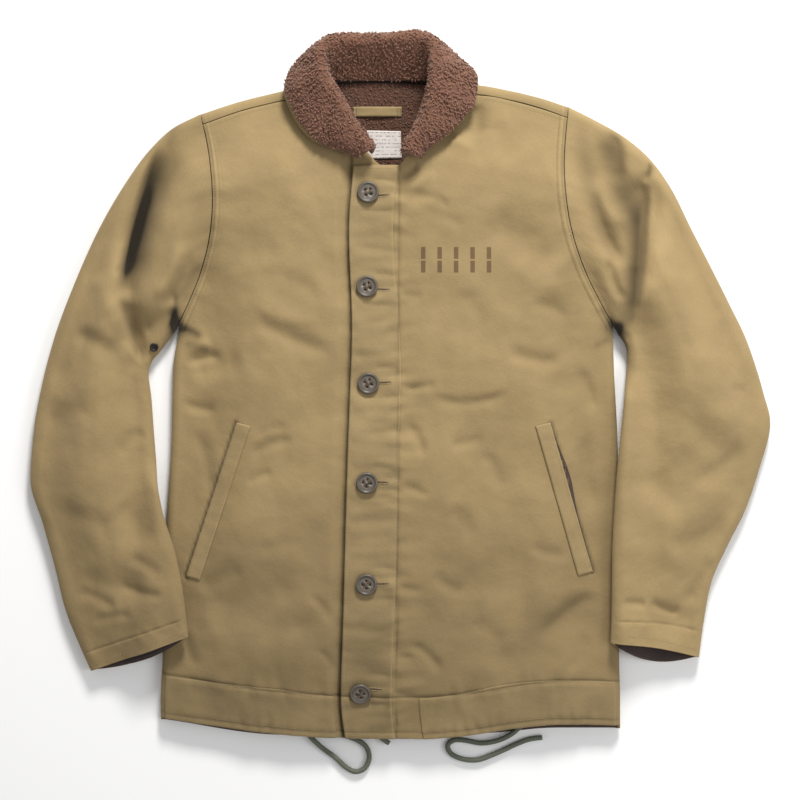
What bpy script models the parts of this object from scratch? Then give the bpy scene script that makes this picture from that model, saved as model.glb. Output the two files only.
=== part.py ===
"""Deck jacket laid flat on its back: cloth shell, pile collar, buttons, pockets and hem cords.

The jacket lies on a table with its front up. +X runs to the wearer's left, +Y from the hem
to the collar, +Z up, and the table is z = 0. Sizes in the tables are millimetres, measured
from the middle of the hem, and every object is built in metres.
"""

import math
from collections import namedtuple

import bmesh
import bpy
import numpy as np
from mathutils import Vector
from mathutils.bvhtree import BVHTree
from mathutils.geometry import delaunay_2d_cdt

MM = 0.001

# Driving sizes
WALL = 3.0
SEAM = 0.3
EDGE_HALF = 7.5
EDGE_ROLL = 10.0
BODY_RISE = 90.0
ARMPIT_RIGHT = (-235.0, 444.0)
ARMPIT_LEFT = (246.0, 444.0)
SHOULDER_RIGHT = (-210.0, 679.0)
SHOULDER_LEFT = (196.0, 687.0)
ARMHOLE_BOW = 26.0
ARMHOLE_BOW_BACK = 20.0
SHOULDER_STRIP = 11.0
SHOULDER_GAP = 0.9
ARMHOLE_GAP = 0.8
STRIP_SHARE = 0.0466
WRAP_SHARE = 0.0508
UNDERLAP = 46.0
UNDERLAP_SINK = 4.4
BAND_WALL = 1.5
HEM_WALL = 1.2
WELT_WALL = 1.8
PILE_WALL = 4.5
UNDER_WALL = 1.3
COLLAR_ROLL = 9.2
COLLAR_FOOT = 3.4
LINING_WALL = 5.5
CUFF_WALL = 1.2
CUFF_GAP = 0.9
LABEL_WALL = 0.8
BUTTON_RADIUS = 11.8
BUTTON_HEIGHT = 3.8
BUTTON_HOLE = 1.25
BUTTON_HOLE_SPREAD = 2.9
CORD_DIAMETER = 5.6

# Outline of the body: half sections at a height y up the garment
Side = namedtuple("Side", "y left right crown")
SIDES = [
    Side(-20, -254, 254, 18),
    Side(30, -255, 254, 22),
    Side(75, -253, 253, 27),
    Side(195, -250, 253, 32),
    Side(320, -243, 251, 33),
    Side(400, -241, 247, 33),
    Side(444, -235, 246, 33),
    Side(560, -272, 276, 33),
    Side(730, -310, 300, 31),
]

# Curves across the garment, read by x
Across = namedtuple("Across", "x y")
RIDGE = [
    Across(-300, 650),
    Across(-210, 679),
    Across(-167, 693),
    Across(-118, 705),
    Across(-88, 712),
    Across(-60, 722),
    Across(-14, 724),
    Across(36, 722),
    Across(60, 713),
    Across(98, 711),
    Across(132, 705),
    Across(169, 696),
    Across(196, 687),
    Across(300, 660),
]
FRONT_HEM = [
    Across(-255, 12),
    Across(-200, 4),
    Across(-118, -6),
    Across(-60, -10),
    Across(35, -11),
    Across(68, -9),
    Across(107, -4),
    Across(139, 1),
    Across(184, 5),
    Across(255, 3),
]
BACK_HEM = [
    Across(-255, 9),
    Across(-118, -9),
    Across(0, -9),
    Across(107, -7),
    Across(184, -1),
    Across(255, -1),
]

# Edge of the button band up the centre front
Along = namedtuple("Along", "y x")
BAND_EDGE = [
    Along(-14, -50),
    Along(30, -55),
    Along(130, -52),
    Along(228, -49.5),
    Along(365, -45),
    Along(440, -42.5),
    Along(549, -46),
    Along(619, -41),
]

# Columns of the two front panels: where each starts at the hem and ends at the top edge
Column = namedtuple("Column", "u hem_x top_x top_y")
FRONT_LEFT_COLUMNS = [
    Column(0.00, -50, -41, 619),
    Column(0.055, -30, -22, 620),
    Column(0.11, -10, -5, 620),
    Column(0.15, 5, 8, 620),
    Column(0.21, 36, 17, 630),
    Column(0.29, 64, 28, 645),
    Column(0.38, 92, 40, 665),
    Column(0.48, 122, 53, None),
    Column(0.58, 149, 80, None),
    Column(0.68, 176, 108, None),
    Column(0.78, 201, 136, None),
    Column(0.87, 224, 160, None),
    Column(0.94, 242, 180, None),
    Column(0.975, 248, 187, None),
    Column(0.992, 252.2, 191, None),
    Column(1.00, 254, 193, None),
]
FRONT_RIGHT_COLUMNS = [
    Column(0.00, -4, 4, 612),
    Column(0.10, -28, -14, 622),
    Column(0.20, -50, -30, 640),
    Column(0.25, -60, -40, 650),
    Column(0.32, -82, -54, 665),
    Column(0.40, -104, -68, 682),
    Column(0.48, -128, -82, None),
    Column(0.58, -152, -108, None),
    Column(0.68, -176, -135, None),
    Column(0.78, -201, -162, None),
    Column(0.87, -224, -184, None),
    Column(0.94, -242, -199, None),
    Column(0.975, -248, -204, None),
    Column(0.992, -252.2, -206.5, None),
    Column(1.00, -254, -207.5, None),
]
ARMPIT_ROW = 0.64
BODY_ROWS = [0, 0.014, 0.07, 0.12, 0.17, 0.22, 0.27, 0.32, 0.37, 0.42, 0.47, 0.52, 0.56, 0.60]
HEM_ROWS = 3
BAND_COLUMNS = 4
HEM_COLUMN_LEFT = 4
HEM_COLUMN_RIGHT = 3
BACK_COLUMNS = [0, 0.005, 0.018, 0.045, 0.10, 0.18, 0.26, 0.34, 0.42, 0.50, 0.58, 0.66, 0.74, 0.82, 0.90, 0.955, 0.982, 0.995, 1]
BACK_ROWS = [0, 0.05, 0.13, 0.22, 0.31, 0.40, 0.49, 0.57, 0.61]
WRAP_ROWS = [0.18, 0.34, 0.50, 0.62, 0.73, 0.85, 1]

# Sections of the sleeves from the armhole to the cuff
Section = namedtuple("Section", "outer_x outer_y inner_x inner_y loft bow_top bow_under")
SLEEVE_RIGHT = [
    Section(-210, 679, -235, 444, 26, -26, -20),
    Section(-240, 664, -239, 438, 30, -22, -17),
    Section(-268, 638, -244, 431, 33, -16, -12),
    Section(-296, 599, -250, 423, 35, -9, -7),
    Section(-324, 550, -257, 414, 36, -4, -3),
    Section(-350, 492, -265, 404, 37, 0, 0),
    Section(-372, 433, -268, 390, 37, 0, 0),
    Section(-386, 380, -265, 365, 37, 0, 0),
    Section(-395, 330, -262, 325, 36, 0, 0),
    Section(-399, 275, -258, 280, 35, 0, 0),
    Section(-385, 225, -250, 238, 33, 0, 0),
    Section(-372, 178, -237, 196, 31, 0, 0),
    Section(-361, 133, -229, 158, 28, 0, 2),
    Section(-345, 92, -225, 126, 25, 0, 5),
    Section(-332, 63, -222, 103, 24, 0, 9),
]
SLEEVE_LEFT = [
    Section(196, 687, 246, 444, 26, -26, -20),
    Section(226, 672, 248, 441, 30, -22, -17),
    Section(256, 655, 250.5, 437, 33, -16, -12),
    Section(285, 631, 253, 433, 35, -10, -8),
    Section(310, 597, 256, 429, 36, -5, -4),
    Section(332, 553, 259, 424, 37, -1, -1),
    Section(353, 512, 261, 417, 37, 0, 0),
    Section(374, 470, 261.5, 406, 37, 0, 0),
    Section(394, 428, 260, 390, 37, 0, 0),
    Section(412, 372, 256, 360, 37, 0, 0),
    Section(420, 336, 252, 322, 37, 0, 0),
    Section(408, 287, 248, 280, 35, 0, 0),
    Section(392, 240, 245, 236, 33, 0, 0),
    Section(373, 202, 243, 194, 30, 0, 0),
    Section(354, 158, 242.5, 154, 27, -1, 2),
    Section(346, 115, 242, 120, 25, -3, 8),
    Section(341, 78, 241, 96, 24, -3, 14),
]
SLEEVE_HALF = 9.0
SLEEVE_ROLL = 14.0
SLEEVE_DIP = 7.5
RING_TOP = [0, 0.006, 0.0206, STRIP_SHARE, 0.12, 0.20, 0.30, 0.40, 0.50, 0.60, 0.70, 0.80, 0.89, 0.955, 0.988]
RING_UNDER = [1, 0.985, 0.93, 0.78, 0.52, 0.27, WRAP_SHARE, 0.025, 0.008]
SLEEVE_ROWS = 19
CUFF_START = 0.946
LIFT_REACH = 45.0
LIFT_RUN = 40.0
LIFT_START_RIGHT = 300.0
LIFT_START_LEFT = 400.0

# Stations of the shawl collar, from the wearer's right front round the neck to the left.
# seam: foot of the collar; roll: axis it turns over; edge: free edge of the turned part.
Station = namedtuple("Station", "seam_x seam_y foot_z roll_x roll_y roll_z edge_x edge_y edge_z")
COLLAR = [
    Station(-21, 632, 34.5, -24, 633, 45, -34, 625, 42),
    Station(-34, 645, 33.5, -33, 647, 44, -49, 632, 41),
    Station(-49, 659, 29.5, -42, 658, 43, -76, 642, 40),
    Station(-62, 675, 23.5, -54, 678, 42, -96, 661, 36),
    Station(-74, 690, 18.5, -65, 697, 41, -110, 686, 31),
    Station(-81, 704, 17.5, -76, 718, 40, -117, 706, 26),
    Station(-79, 714, 16.5, -78, 736, 36, -111, 728, 15),
    Station(-69, 719, 17, -71, 750, 31, -90, 743, 7),
    Station(-52, 719, 14.5, -56, 756, 26, -62, 741, 1.5),
    Station(-14, 719, 12, -14, 756, 25, -14, 739, 1.5),
    Station(27, 719, 14.5, 27, 759, 26, 34, 742, 1.5),
    Station(43, 719, 17, 42, 754, 31, 60, 748, 7),
    Station(52, 714, 16.5, 50, 739, 36, 80, 737, 15),
    Station(54, 704, 17.5, 51, 719, 40, 96, 716, 26),
    Station(50, 689, 19, 46.5, 694, 41, 93, 690, 31),
    Station(43, 672, 24.5, 39, 671, 42, 79, 670, 36),
    Station(34, 655, 30, 31.5, 652, 43, 62, 652, 40),
    Station(25, 641, 33.5, 23.5, 641, 44, 43, 638, 41),
    Station(18, 629, 34.5, 20, 630, 45, 32, 625, 42),
]
COLLAR_SAMPLES = 33
PILE_STEPS = [0, 0.13, 0.25, 0.35, 0.45, 0.55, 0.65, 0.76, 0.88, 1]
UNDER_STEPS = PILE_STEPS + [2]
TURN_RIGHT = 6.0
TURN_LEFT = 3.0

# The largest folds of the upper surface: a line, how far it bows, its height and its two widths
Fold = namedtuple("Fold", "x0 y0 x1 y1 bend height left right")
FOLDS = [
    Fold(-250, 668, -294, 470, -8, -17, 34, 14),
    Fold(-296, 505, -274, 410, 0, -11, 14, 20),
    Fold(-232, 456, -276, 436, 0, -5, 12, 12),
    Fold(-352, 420, -290, 408, 6, -4, 20, 20),
    Fold(-300, 250, -262, 205, 0, -5, 18, 18),
    Fold(-345, 160, -262, 152, 4, -5, 15, 15),
    Fold(204, 660, 262, 505, -10, -12, 26, 20),
    Fold(236, 656, 262, 560, -6, -8, 15, 15),
    Fold(287, 616, 266, 470, 4, -16, 14, 30),
    Fold(368, 340, 285, 240, 8, -5, 24, 24),
    Fold(395, 330, 300, 400, -10, 4, 30, 30),
    Fold(345, 128, 278, 118, 4, -4, 14, 14),
    Fold(110, 575, 196, 515, -14, -7, 26, 22),
    Fold(176, 490, 206, 400, -4, -4, 20, 20),
    Fold(235, 140, 108, 52, -6, -7, 24, 24),
    Fold(60, 160, 165, 138, 4, -4, 26, 26),
    Fold(-175, 600, -160, 500, 6, -4, 26, 26),
    Fold(-200, 110, -95, 160, 8, -5, 30, 30),
    Fold(-226, 398, -160, 410, -5, -4, 14, 14),
]

# Small pieces
Welt = namedtuple("Welt", "top_x top_y bottom_x bottom_y width")
WELTS = {
    "right": Welt(-169, 338, -226, 168, 15.5),
    "left": Welt(175, 338, 223, 173, -17.0),
}
BUTTONS = [
    Across(-26, 588),
    Across(-25, 485),
    Across(-24, 383),
    Across(-27, 274),
    Across(-26, 163),
    Across(-33, 46),
]
LINING_X = (-72, 45)
LINING_START = 588
LINING_BELOW_RIDGE = 10.5
LOOP_X = (-42, 12)
LOOP_Y = (676, 687)
LOOP_RISE = 2.5
LABEL_X = (-29, 12)
LABEL_Y = (629, 660)
EYELET = (-261, 421)
EYELET_RADIUS = 3.6
EYELET_WIRE = 1.3

# Route of each hem cord: plan position and height of its centre line
CORD_LIFT = CORD_DIAMETER / 2 + 0.1
HEM_REST = WALL + CORD_LIFT + 0.3
Point = namedtuple("Point", "x y z")
CORD_RIGHT = [
    Point(-118, 14, HEM_REST), Point(-104, 3, HEM_REST), Point(-93, -7, HEM_REST),
    Point(-84, -16, HEM_REST), Point(-74, -25, 4.2), Point(-62, -34, CORD_LIFT),
    Point(-50, -45, CORD_LIFT), Point(-39, -50, CORD_LIFT), Point(-29, -46, CORD_LIFT),
    Point(-24, -35, CORD_LIFT), Point(-27, -23, CORD_LIFT + 0.6), Point(-36, -15, HEM_REST),
    Point(-49, -10, HEM_REST), Point(-62, -6, HEM_REST), Point(-70, 3, HEM_REST),
    Point(-67, 14, HEM_REST), Point(-54, 20, HEM_REST), Point(-40, 16, HEM_REST),
    Point(-28, 6, HEM_REST), Point(-18, -6, HEM_REST), Point(-9, -13, HEM_REST),
    Point(-2, -18, 5.4),
]
CORD_LEFT = [
    Point(162, 30, HEM_REST), Point(157, 16, HEM_REST), Point(146, 3, HEM_REST),
    Point(133, -8, HEM_REST), Point(118, -15, HEM_REST), Point(100, -18, 4.0),
    Point(82, -15, CORD_LIFT + 0.6), Point(70, -15, CORD_LIFT), Point(63, -21, CORD_LIFT),
    Point(67, -30, CORD_LIFT), Point(80, -36, CORD_LIFT), Point(96, -37, CORD_LIFT),
    Point(111, -32, CORD_LIFT), Point(125, -26, CORD_LIFT), Point(140, -19, CORD_LIFT),
    Point(154, -14, CORD_LIFT), Point(168, -12, CORD_LIFT),
]
CORD_POINTS = 48

# Finish of each material: colour, roughness
Finish = namedtuple("Finish", "colour roughness")
FINISHES = {
    "cloth": Finish((0.38, 0.28, 0.14, 1), 0.9),
    "trim_cloth": Finish((0.36, 0.265, 0.13, 1), 0.9),
    "pile": Finish((0.16, 0.085, 0.058, 1), 1.0),
    "lining": Finish((0.10, 0.055, 0.04, 1), 1.0),
    "knit": Finish((0.045, 0.035, 0.03, 1), 1.0),
    "label": Finish((0.72, 0.68, 0.66, 1), 0.85),
    "button": Finish((0.14, 0.115, 0.10, 1), 0.35),
    "cord": Finish((0.16, 0.17, 0.13, 1), 0.9),
    "metal": Finish((0.02, 0.02, 0.02, 1), 0.4),
}


def curve(knots, values):
    """A smooth curve through a table that never overshoots it, read by the knots."""
    knots = np.asarray(knots, float)
    values = np.asarray(values, float)
    flat = values.ndim == 1
    if flat:
        values = values[:, None]
    steps = np.diff(knots)[:, None]
    slopes = np.diff(values, axis=0) / steps
    tangents = np.zeros_like(values)
    tangents[0] = slopes[0]
    tangents[-1] = slopes[-1]
    before, after = slopes[:-1], slopes[1:]
    product = before * after
    total = np.where(product > 0, before + after, 1)
    tangents[1:-1] = np.where(product > 0, 2 * product / total, 0)

    def read(t):
        t = np.clip(np.asarray(t, float), knots[0], knots[-1])
        i = np.clip(np.searchsorted(knots, t, side="right") - 1, 0, len(knots) - 2)
        h = steps[i, 0][..., None]
        s = (t - knots[i])[..., None] / h
        a = (1 + 2 * s) * (1 - s) ** 2
        b = s * (1 - s) ** 2
        c = s * s * (3 - 2 * s)
        d = s * s * (s - 1)
        out = a * values[i] + b * h * tangents[i] + c * values[i + 1] + d * h * tangents[i + 1]
        return out[..., 0] if flat else out

    return read


def smoothstep(t):
    t = np.clip(t, 0, 1)
    return t * t * (3 - 2 * t)


def roll(distance, radius):
    """Quarter round of an edge: 0 at the edge, 1 from radius on."""
    t = 1 - np.clip(distance / radius, 0, 1)
    return np.sqrt(np.clip(1 - t * t, 0, 1))


side_left = curve([s.y for s in SIDES], [s.left for s in SIDES])
side_right = curve([s.y for s in SIDES], [s.right for s in SIDES])
crown = curve([s.y for s in SIDES], [s.crown for s in SIDES])
ridge = curve([r.x for r in RIDGE], [r.y for r in RIDGE])
front_hem = curve([r.x for r in FRONT_HEM], [r.y for r in FRONT_HEM])
back_hem = curve([r.x for r in BACK_HEM], [r.y for r in BACK_HEM])
band_edge = curve([b.y for b in BAND_EDGE], [b.x for b in BAND_EDGE])


def fold_height(x, y):
    """Sum of the folds at a plan position."""
    total = np.zeros(np.broadcast(x, y).shape)
    for f in FOLDS:
        dx, dy = f.x1 - f.x0, f.y1 - f.y0
        length = math.hypot(dx, dy)
        along = ((x - f.x0) * dx + (y - f.y0) * dy) / length**2
        across = ((y - f.y0) * dx - (x - f.x0) * dy) / length
        inside = np.clip(along, 0, 1)
        across = across - f.bend * 4 * inside * (1 - inside)
        width = np.where(across > 0, f.left, f.right)
        taper = smoothstep(along / 0.25) * smoothstep((1 - along) / 0.25)
        total = total + f.height * np.exp(-((across / width) ** 2)) * taper
    return total


def side_distance(x, y):
    return np.minimum(x - side_left(y), side_right(y) - x)


def ridge_distance(x, y):
    return ridge(x) - y


def body_top(x, y):
    """Height of the outer face of the front over a plan position."""
    to_side, to_ridge = side_distance(x, y), ridge_distance(x, y)
    edge = roll(np.minimum(to_side, to_ridge), EDGE_ROLL)
    rise = smoothstep((to_side - EDGE_ROLL) / BODY_RISE)
    rise = rise * smoothstep((to_ridge - EDGE_ROLL) / BODY_RISE)
    inside = smoothstep((np.minimum(to_side, to_ridge) - EDGE_ROLL * 0.5) / 25)
    low = EDGE_HALF + SEAM / 2
    high = EDGE_HALF - SEAM / 2
    return low + high * edge + (crown(y) - 2 * EDGE_HALF) * rise + fold_height(x, y) * inside


def body_under(x, y):
    """Height of the outer face of the back: flat on the table, rolled up at its edges."""
    distance = np.minimum(side_distance(x, y), ridge_distance(x, y))
    return (EDGE_HALF - SEAM / 2) * (1 - roll(distance, EDGE_ROLL))


def armhole(shoulder, armpit, bow, t):
    """Plan position on the body's side of an armhole, from the shoulder at t = 0 to the armpit."""
    a, b = np.array(shoulder, float), np.array(armpit, float)
    chord = b - a
    away = np.array([chord[1], -chord[0]]) / np.hypot(*chord)
    if away[0] * a[0] < 0:
        away = -away
    t = np.asarray(t, float)[..., None]
    bow = np.asarray(bow, float)[..., None]
    return a + chord * t - away * bow * np.sin(math.pi * t)


def armhole_rows(shares, end_share):
    """Rows of a panel that meet an armhole at the given shares of it, from the armpit up."""
    climb = (1 - ARMPIT_ROW) / (1 - end_share)
    return [ARMPIT_ROW - 1e-5] + [ARMPIT_ROW + climb * (1 - t) for t in shares]


def coons(u, v, bottom, top, inner, outer):
    """Plan position inside four boundary curves."""
    zero, one = np.zeros(1), np.ones(1)
    b0, b1, t0, t1 = bottom(zero)[0], bottom(one)[0], top(zero)[0], top(one)[0]
    a, c = u[..., None], v[..., None]
    corners = (1 - a) * (1 - c) * b0 + a * (1 - c) * b1 + (1 - a) * c * t0 + a * c * t1
    return (1 - c) * bottom(u) + c * top(u) + (1 - a) * inner(v) + a * outer(v) - corners


def front_panel(columns, shoulder, armpit, side, inner_x, sink):
    """The outer face of one front: u runs from the centre to the side, v from hem to top."""
    us = [c.u for c in columns]
    hem_x = curve(us, [c.hem_x for c in columns])
    seam_y = [float(ridge(c.top_x)) - SHOULDER_STRIP - SHOULDER_GAP for c in columns]
    tops = [(c.top_x, y if c.top_y is None else c.top_y) for c, y in zip(columns, seam_y)]
    top_curve = curve(us, tops)
    start_y, end_y = float(front_hem(columns[-1].hem_x)), armpit[1]

    def bottom(u):
        x = hem_x(u)
        return np.stack([x, front_hem(x)], -1)

    def inner(v):
        y = front_hem(columns[0].hem_x) * (1 - v) + tops[0][1] * v
        return np.stack([inner_x(y), y], -1)

    def outer(v):
        low_y = start_y + (end_y - start_y) * np.clip(v / ARMPIT_ROW, 0, 1)
        low = np.stack([side(low_y), low_y], -1)
        climb = np.clip((v - ARMPIT_ROW) / (1 - ARMPIT_ROW), 0, 1)
        high = armhole(shoulder, armpit, ARMHOLE_BOW, 1 - (1 - STRIP_SHARE) * climb)
        high = high - np.array([0, SHOULDER_GAP]) * smoothstep((v - 0.9) / 0.1)[..., None]
        return np.where((v < ARMPIT_ROW)[..., None], low, high)

    corner = outer(np.ones(1))[0] - np.array(tops[-1])

    def top(u):
        return top_curve(u) + corner * smoothstep((u - 0.7) / 0.3)[..., None]

    def face(u, v):
        plan = coons(u, v, bottom, top, inner, outer)
        x, y = plan[..., 0], plan[..., 1]
        return np.stack([x, y, body_top(x, y) - sink(x, y)], -1)

    return face


def no_sink(x, y):
    return np.zeros(np.broadcast(x, y).shape)


def underlap_sink(x, y):
    """The right front dips under the left one along the centre."""
    return UNDERLAP_SINK * smoothstep((x - band_edge(y) + 16) / 12)


def right_inner(y):
    return band_edge(y) + UNDERLAP


front_left = front_panel(
    FRONT_LEFT_COLUMNS, SHOULDER_LEFT, ARMPIT_LEFT, side_right, band_edge, no_sink
)
front_right = front_panel(
    FRONT_RIGHT_COLUMNS, SHOULDER_RIGHT, ARMPIT_RIGHT, side_left, right_inner, underlap_sink
)


def wrap_amount(x):
    """1 where the back is carried over the shoulder, 0 along the neck."""
    return np.maximum(smoothstep((-76 - x) / 30), smoothstep((x - 56) / 24))


def back_face(u, v):
    """The outer face of the back: u across, v up to 1 at the shoulder roll and on over it to 2."""
    def low_side(side, armpit, w):
        y = float(back_hem(254 * np.sign(armpit[0]))) * (1 - w) + armpit[1] * w
        return np.stack([side(y), y], -1)

    def boundary(shoulder, armpit, side):
        def read(w):
            low = low_side(side, armpit, np.clip(w / ARMPIT_ROW, 0, 1))
            climb = np.clip((w - ARMPIT_ROW) / (1 - ARMPIT_ROW), 0, 1)
            high = armhole(shoulder, armpit, ARMHOLE_BOW_BACK, 1 - (1 - WRAP_SHARE) * climb)
            return np.where((w < ARMPIT_ROW)[..., None], low, high)

        return read

    inner = boundary(SHOULDER_RIGHT, ARMPIT_RIGHT, side_left)
    outer = boundary(SHOULDER_LEFT, ARMPIT_LEFT, side_right)
    first, last = inner(np.ones(1))[0], outer(np.ones(1))[0]

    def bottom(w):
        x = -254 + 508 * w
        return np.stack([x, back_hem(x)], -1)

    def top(w):
        x = first[0] + (last[0] - first[0]) * w
        fit = (first[1] - float(ridge(first[0])) + 12) * smoothstep(1 - w / 0.15)
        fit = fit + (last[1] - float(ridge(last[0])) + 12) * smoothstep((w - 0.85) / 0.15)
        return np.stack([x, ridge(x) - 12 + fit], -1)

    flat = coons(u, np.clip(v, 0, 1), bottom, top, inner, outer)
    x = flat[..., 0]
    amount = wrap_amount(x)
    progress = np.clip(v - 1, 0, 1) * (0.5 + 0.5 * amount)
    under = np.clip(progress / 0.5, 0, 1)
    over = np.clip((progress - 0.5) / 0.35, 0, 1)
    strip = np.clip((progress - 0.85) / 0.15, 0, 1)
    distance_under = EDGE_ROLL * (1 - np.sin(math.pi / 2 * under)) + 2 * (1 - under)
    distance_over = EDGE_ROLL * (1 - np.cos(math.pi / 2 * over)) + (SHOULDER_STRIP - EDGE_ROLL) * strip
    distance = np.where(progress <= 0.5, distance_under, distance_over)
    bow = np.where(progress > 0.5, ARMHOLE_BOW, ARMHOLE_BOW_BACK)
    near_right, near_left = smoothstep(1 - u / 0.15), smoothstep((u - 0.85) / 0.15)
    right_end = armhole(SHOULDER_RIGHT, ARMPIT_RIGHT, bow, distance / 12 * WRAP_SHARE)
    left_end = armhole(SHOULDER_LEFT, ARMPIT_LEFT, bow, distance / 12 * WRAP_SHARE)
    wrapped_x = x + (right_end[..., 0] - first[0]) * near_right + (left_end[..., 0] - last[0]) * near_left
    wrapped_y = ridge(wrapped_x) - distance
    wrapped_y = wrapped_y + (right_end[..., 1] - ridge(right_end[..., 0]) + distance) * near_right
    wrapped_y = wrapped_y + (left_end[..., 1] - ridge(left_end[..., 0]) + distance) * near_left
    on_top = progress > 0.5
    beyond = v > 1
    px = np.where(beyond, wrapped_x, x)
    py = np.where(beyond, wrapped_y, flat[..., 1])
    z = np.where(beyond & on_top, body_top(px, py), body_under(px, py))
    return np.stack([px, py, z], -1)


def lift_over_body(x, y, start):
    """How far a sleeve is raised where it lies over the side of the body."""
    inside = side_distance(x, y)
    clear = 2.5
    over = np.maximum(2 * EDGE_HALF, body_top(x, y)) + clear
    beside = (2 * EDGE_HALF + clear) * (1 - smoothstep(-inside / LIFT_REACH))
    return np.where(inside > 0, over, beside) * smoothstep((start - y) / LIFT_RUN)


def sleeve(sections, lift_start):
    """The outer face of a sleeve: s runs down the arm, c from its outer edge to its inner one."""
    read = curve(np.linspace(0, 1, len(sections)), [list(section) for section in sections])
    outward = -math.copysign(1, sections[0].outer_x)
    first = sections[0]
    first_outer = np.array([first.outer_x, first.outer_y], float)
    first_chord = np.array([first.inner_x, first.inner_y], float) - first_outer
    first_down = np.array([first_chord[1], -first_chord[0]]) / np.hypot(*first_chord) * outward

    def face(s, c, under):
        row = read(s)
        outer, inner = row[..., 0:2], row[..., 2:4]
        loft, bow_top, bow_under = row[..., 4], row[..., 5], row[..., 6]
        chord = inner - outer
        width = np.hypot(chord[..., 0], chord[..., 1])
        down = np.stack([chord[..., 1], -chord[..., 0]], -1) / width[..., None] * outward
        bow = np.where(under, bow_under, bow_top) * np.sin(math.pi * c)
        blend = smoothstep(s / 0.16)
        plan = outer + chord * c[..., None] + down * (bow + ARMHOLE_GAP * (1 - blend))[..., None]
        x, y = plan[..., 0], plan[..., 1]
        distance = np.minimum(c, 1 - c) * width
        edge = roll(distance, SLEEVE_ROLL)
        rise = smoothstep((distance - SLEEVE_ROLL) / (0.36 * width))
        over = SLEEVE_HALF * (1 + edge) + (loft - 2 * SLEEVE_HALF) * rise
        over = over + fold_height(x, y) * smoothstep(distance / 40)
        over = np.maximum(over, SLEEVE_HALF * (1 + edge) - SLEEVE_DIP * smoothstep(distance / 40))
        below = SLEEVE_HALF * (1 - edge)
        own = np.where(under, below, over) + lift_over_body(x, y, lift_start)
        ring = first_outer + first_chord * c[..., None]
        ring = ring + first_down * (np.where(under, first.bow_under, first.bow_top) * np.sin(math.pi * c))[..., None]
        shared = np.where(under, body_under(ring[..., 0], ring[..., 1]), body_top(ring[..., 0], ring[..., 1]))
        return np.stack([x, y, shared * (1 - blend) + own * blend], -1)

    return face


sleeve_right = sleeve(SLEEVE_RIGHT, LIFT_START_RIGHT)
sleeve_left = sleeve(SLEEVE_LEFT, LIFT_START_LEFT)

stations = curve(np.linspace(0, 1, len(COLLAR)), [list(station) for station in COLLAR])
COLLAR_WALL = PILE_WALL + UNDER_WALL + SEAM


def collar_face(s, q):
    """The pile face of the collar: s runs round the neck, q from its foot to its free edge.

    Past q = 1 the face runs straight on, to the edge of the cloth behind the pile.
    """
    past = np.clip(q - 1, 0, 1)
    q = np.clip(q, 0, 1)
    row = stations(s)
    ahead, behind = stations(np.clip(s + 0.035, 0, 1)), stations(np.clip(s - 0.035, 0, 1))
    run = ahead[..., 3:5] - behind[..., 3:5]
    run = run / np.hypot(run[..., 0], run[..., 1])[..., None]
    inward = np.stack([run[..., 1], -run[..., 0]], -1)
    foot = row[..., 0:2] + inward * COLLAR_FOOT
    axis, edge = row[..., 3:5], row[..., 6:8]
    def local(plan):
        return ((plan - axis) * inward).sum(-1), ((plan - axis) * run).sum(-1)

    foot_h, foot_r = local(foot)
    edge_h, edge_r = local(edge)
    foot_z, edge_z = row[..., 2] - row[..., 5], row[..., 8] - row[..., 5]
    foot_d = np.maximum(np.hypot(foot_h, foot_z), COLLAR_ROLL + 0.01)
    edge_d = np.maximum(np.hypot(edge_h, edge_z), COLLAR_ROLL + 0.01)
    start = np.arctan2(foot_z, foot_h) + np.arccos(COLLAR_ROLL / foot_d)
    end = np.arctan2(edge_z, edge_h)
    end = np.where(end < math.pi / 2, end + 2 * math.pi, end) - np.arccos(COLLAR_ROLL / edge_d)
    end = np.maximum(end, start + 0.6)
    up = np.clip(q / 0.25, 0, 1)
    turn = np.clip((q - 0.25) / 0.40, 0, 1)
    fall = np.clip((q - 0.65) / 0.35, 0, 1)
    angle = start + (end - start) * turn
    h = COLLAR_ROLL * np.cos(angle)
    z = COLLAR_ROLL * np.sin(angle)
    h = np.where(q < 0.25, foot_h + (h - foot_h) * up, h)
    z = np.where(q < 0.25, foot_z + (z - foot_z) * up, z)
    bulge = 2.0 * np.sin(math.pi * fall)
    h = np.where(q > 0.65, h + (edge_h - h) * fall + bulge * np.cos(angle), h)
    z = np.where(q > 0.65, z + (edge_z - z) * fall + bulge * np.sin(angle), z)
    r = foot_r * (1 - np.clip(q / 0.45, 0, 1)) ** 2 + edge_r * np.clip((q - 0.45) / 0.55, 0, 1) ** 2
    plan = axis + inward * h[..., None] + run * r[..., None]
    x, y = plan[..., 0], plan[..., 1]
    height = z + row[..., 5]
    floor = body_top(x, y) + COLLAR_WALL + 1.2 - 60 * smoothstep(-ridge_distance(x, y) / 12)
    floor = np.where(q > 0.45, floor, -100)
    spot = np.stack([x, y, np.maximum(height, floor)], -1)
    if not np.any(past > 0):
        return spot
    turn_back = collar_face(s, np.where(past > 0, 0.97, q))
    on = spot - turn_back
    on = on / np.maximum(np.linalg.norm(on, axis=-1), 1e-9)[..., None]
    width = TURN_LEFT + (TURN_RIGHT - TURN_LEFT) * smoothstep((0.6 - s) / 0.2)
    width = 0.6 + (width - 0.6) * smoothstep((s - 0.03) / 0.12) * smoothstep((0.97 - s) / 0.12)
    return spot + on * (width * past)[..., None]


def lining_face(u, v):
    """The pile face of the piece that shows inside the neck."""
    x = LINING_X[0] + (LINING_X[1] - LINING_X[0]) * u
    y = LINING_START + (ridge(x) - LINING_BELOW_RIDGE - LINING_START) * v
    return np.stack([x, y, np.full(x.shape, WALL + SEAM + LINING_WALL)], -1)


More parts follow.
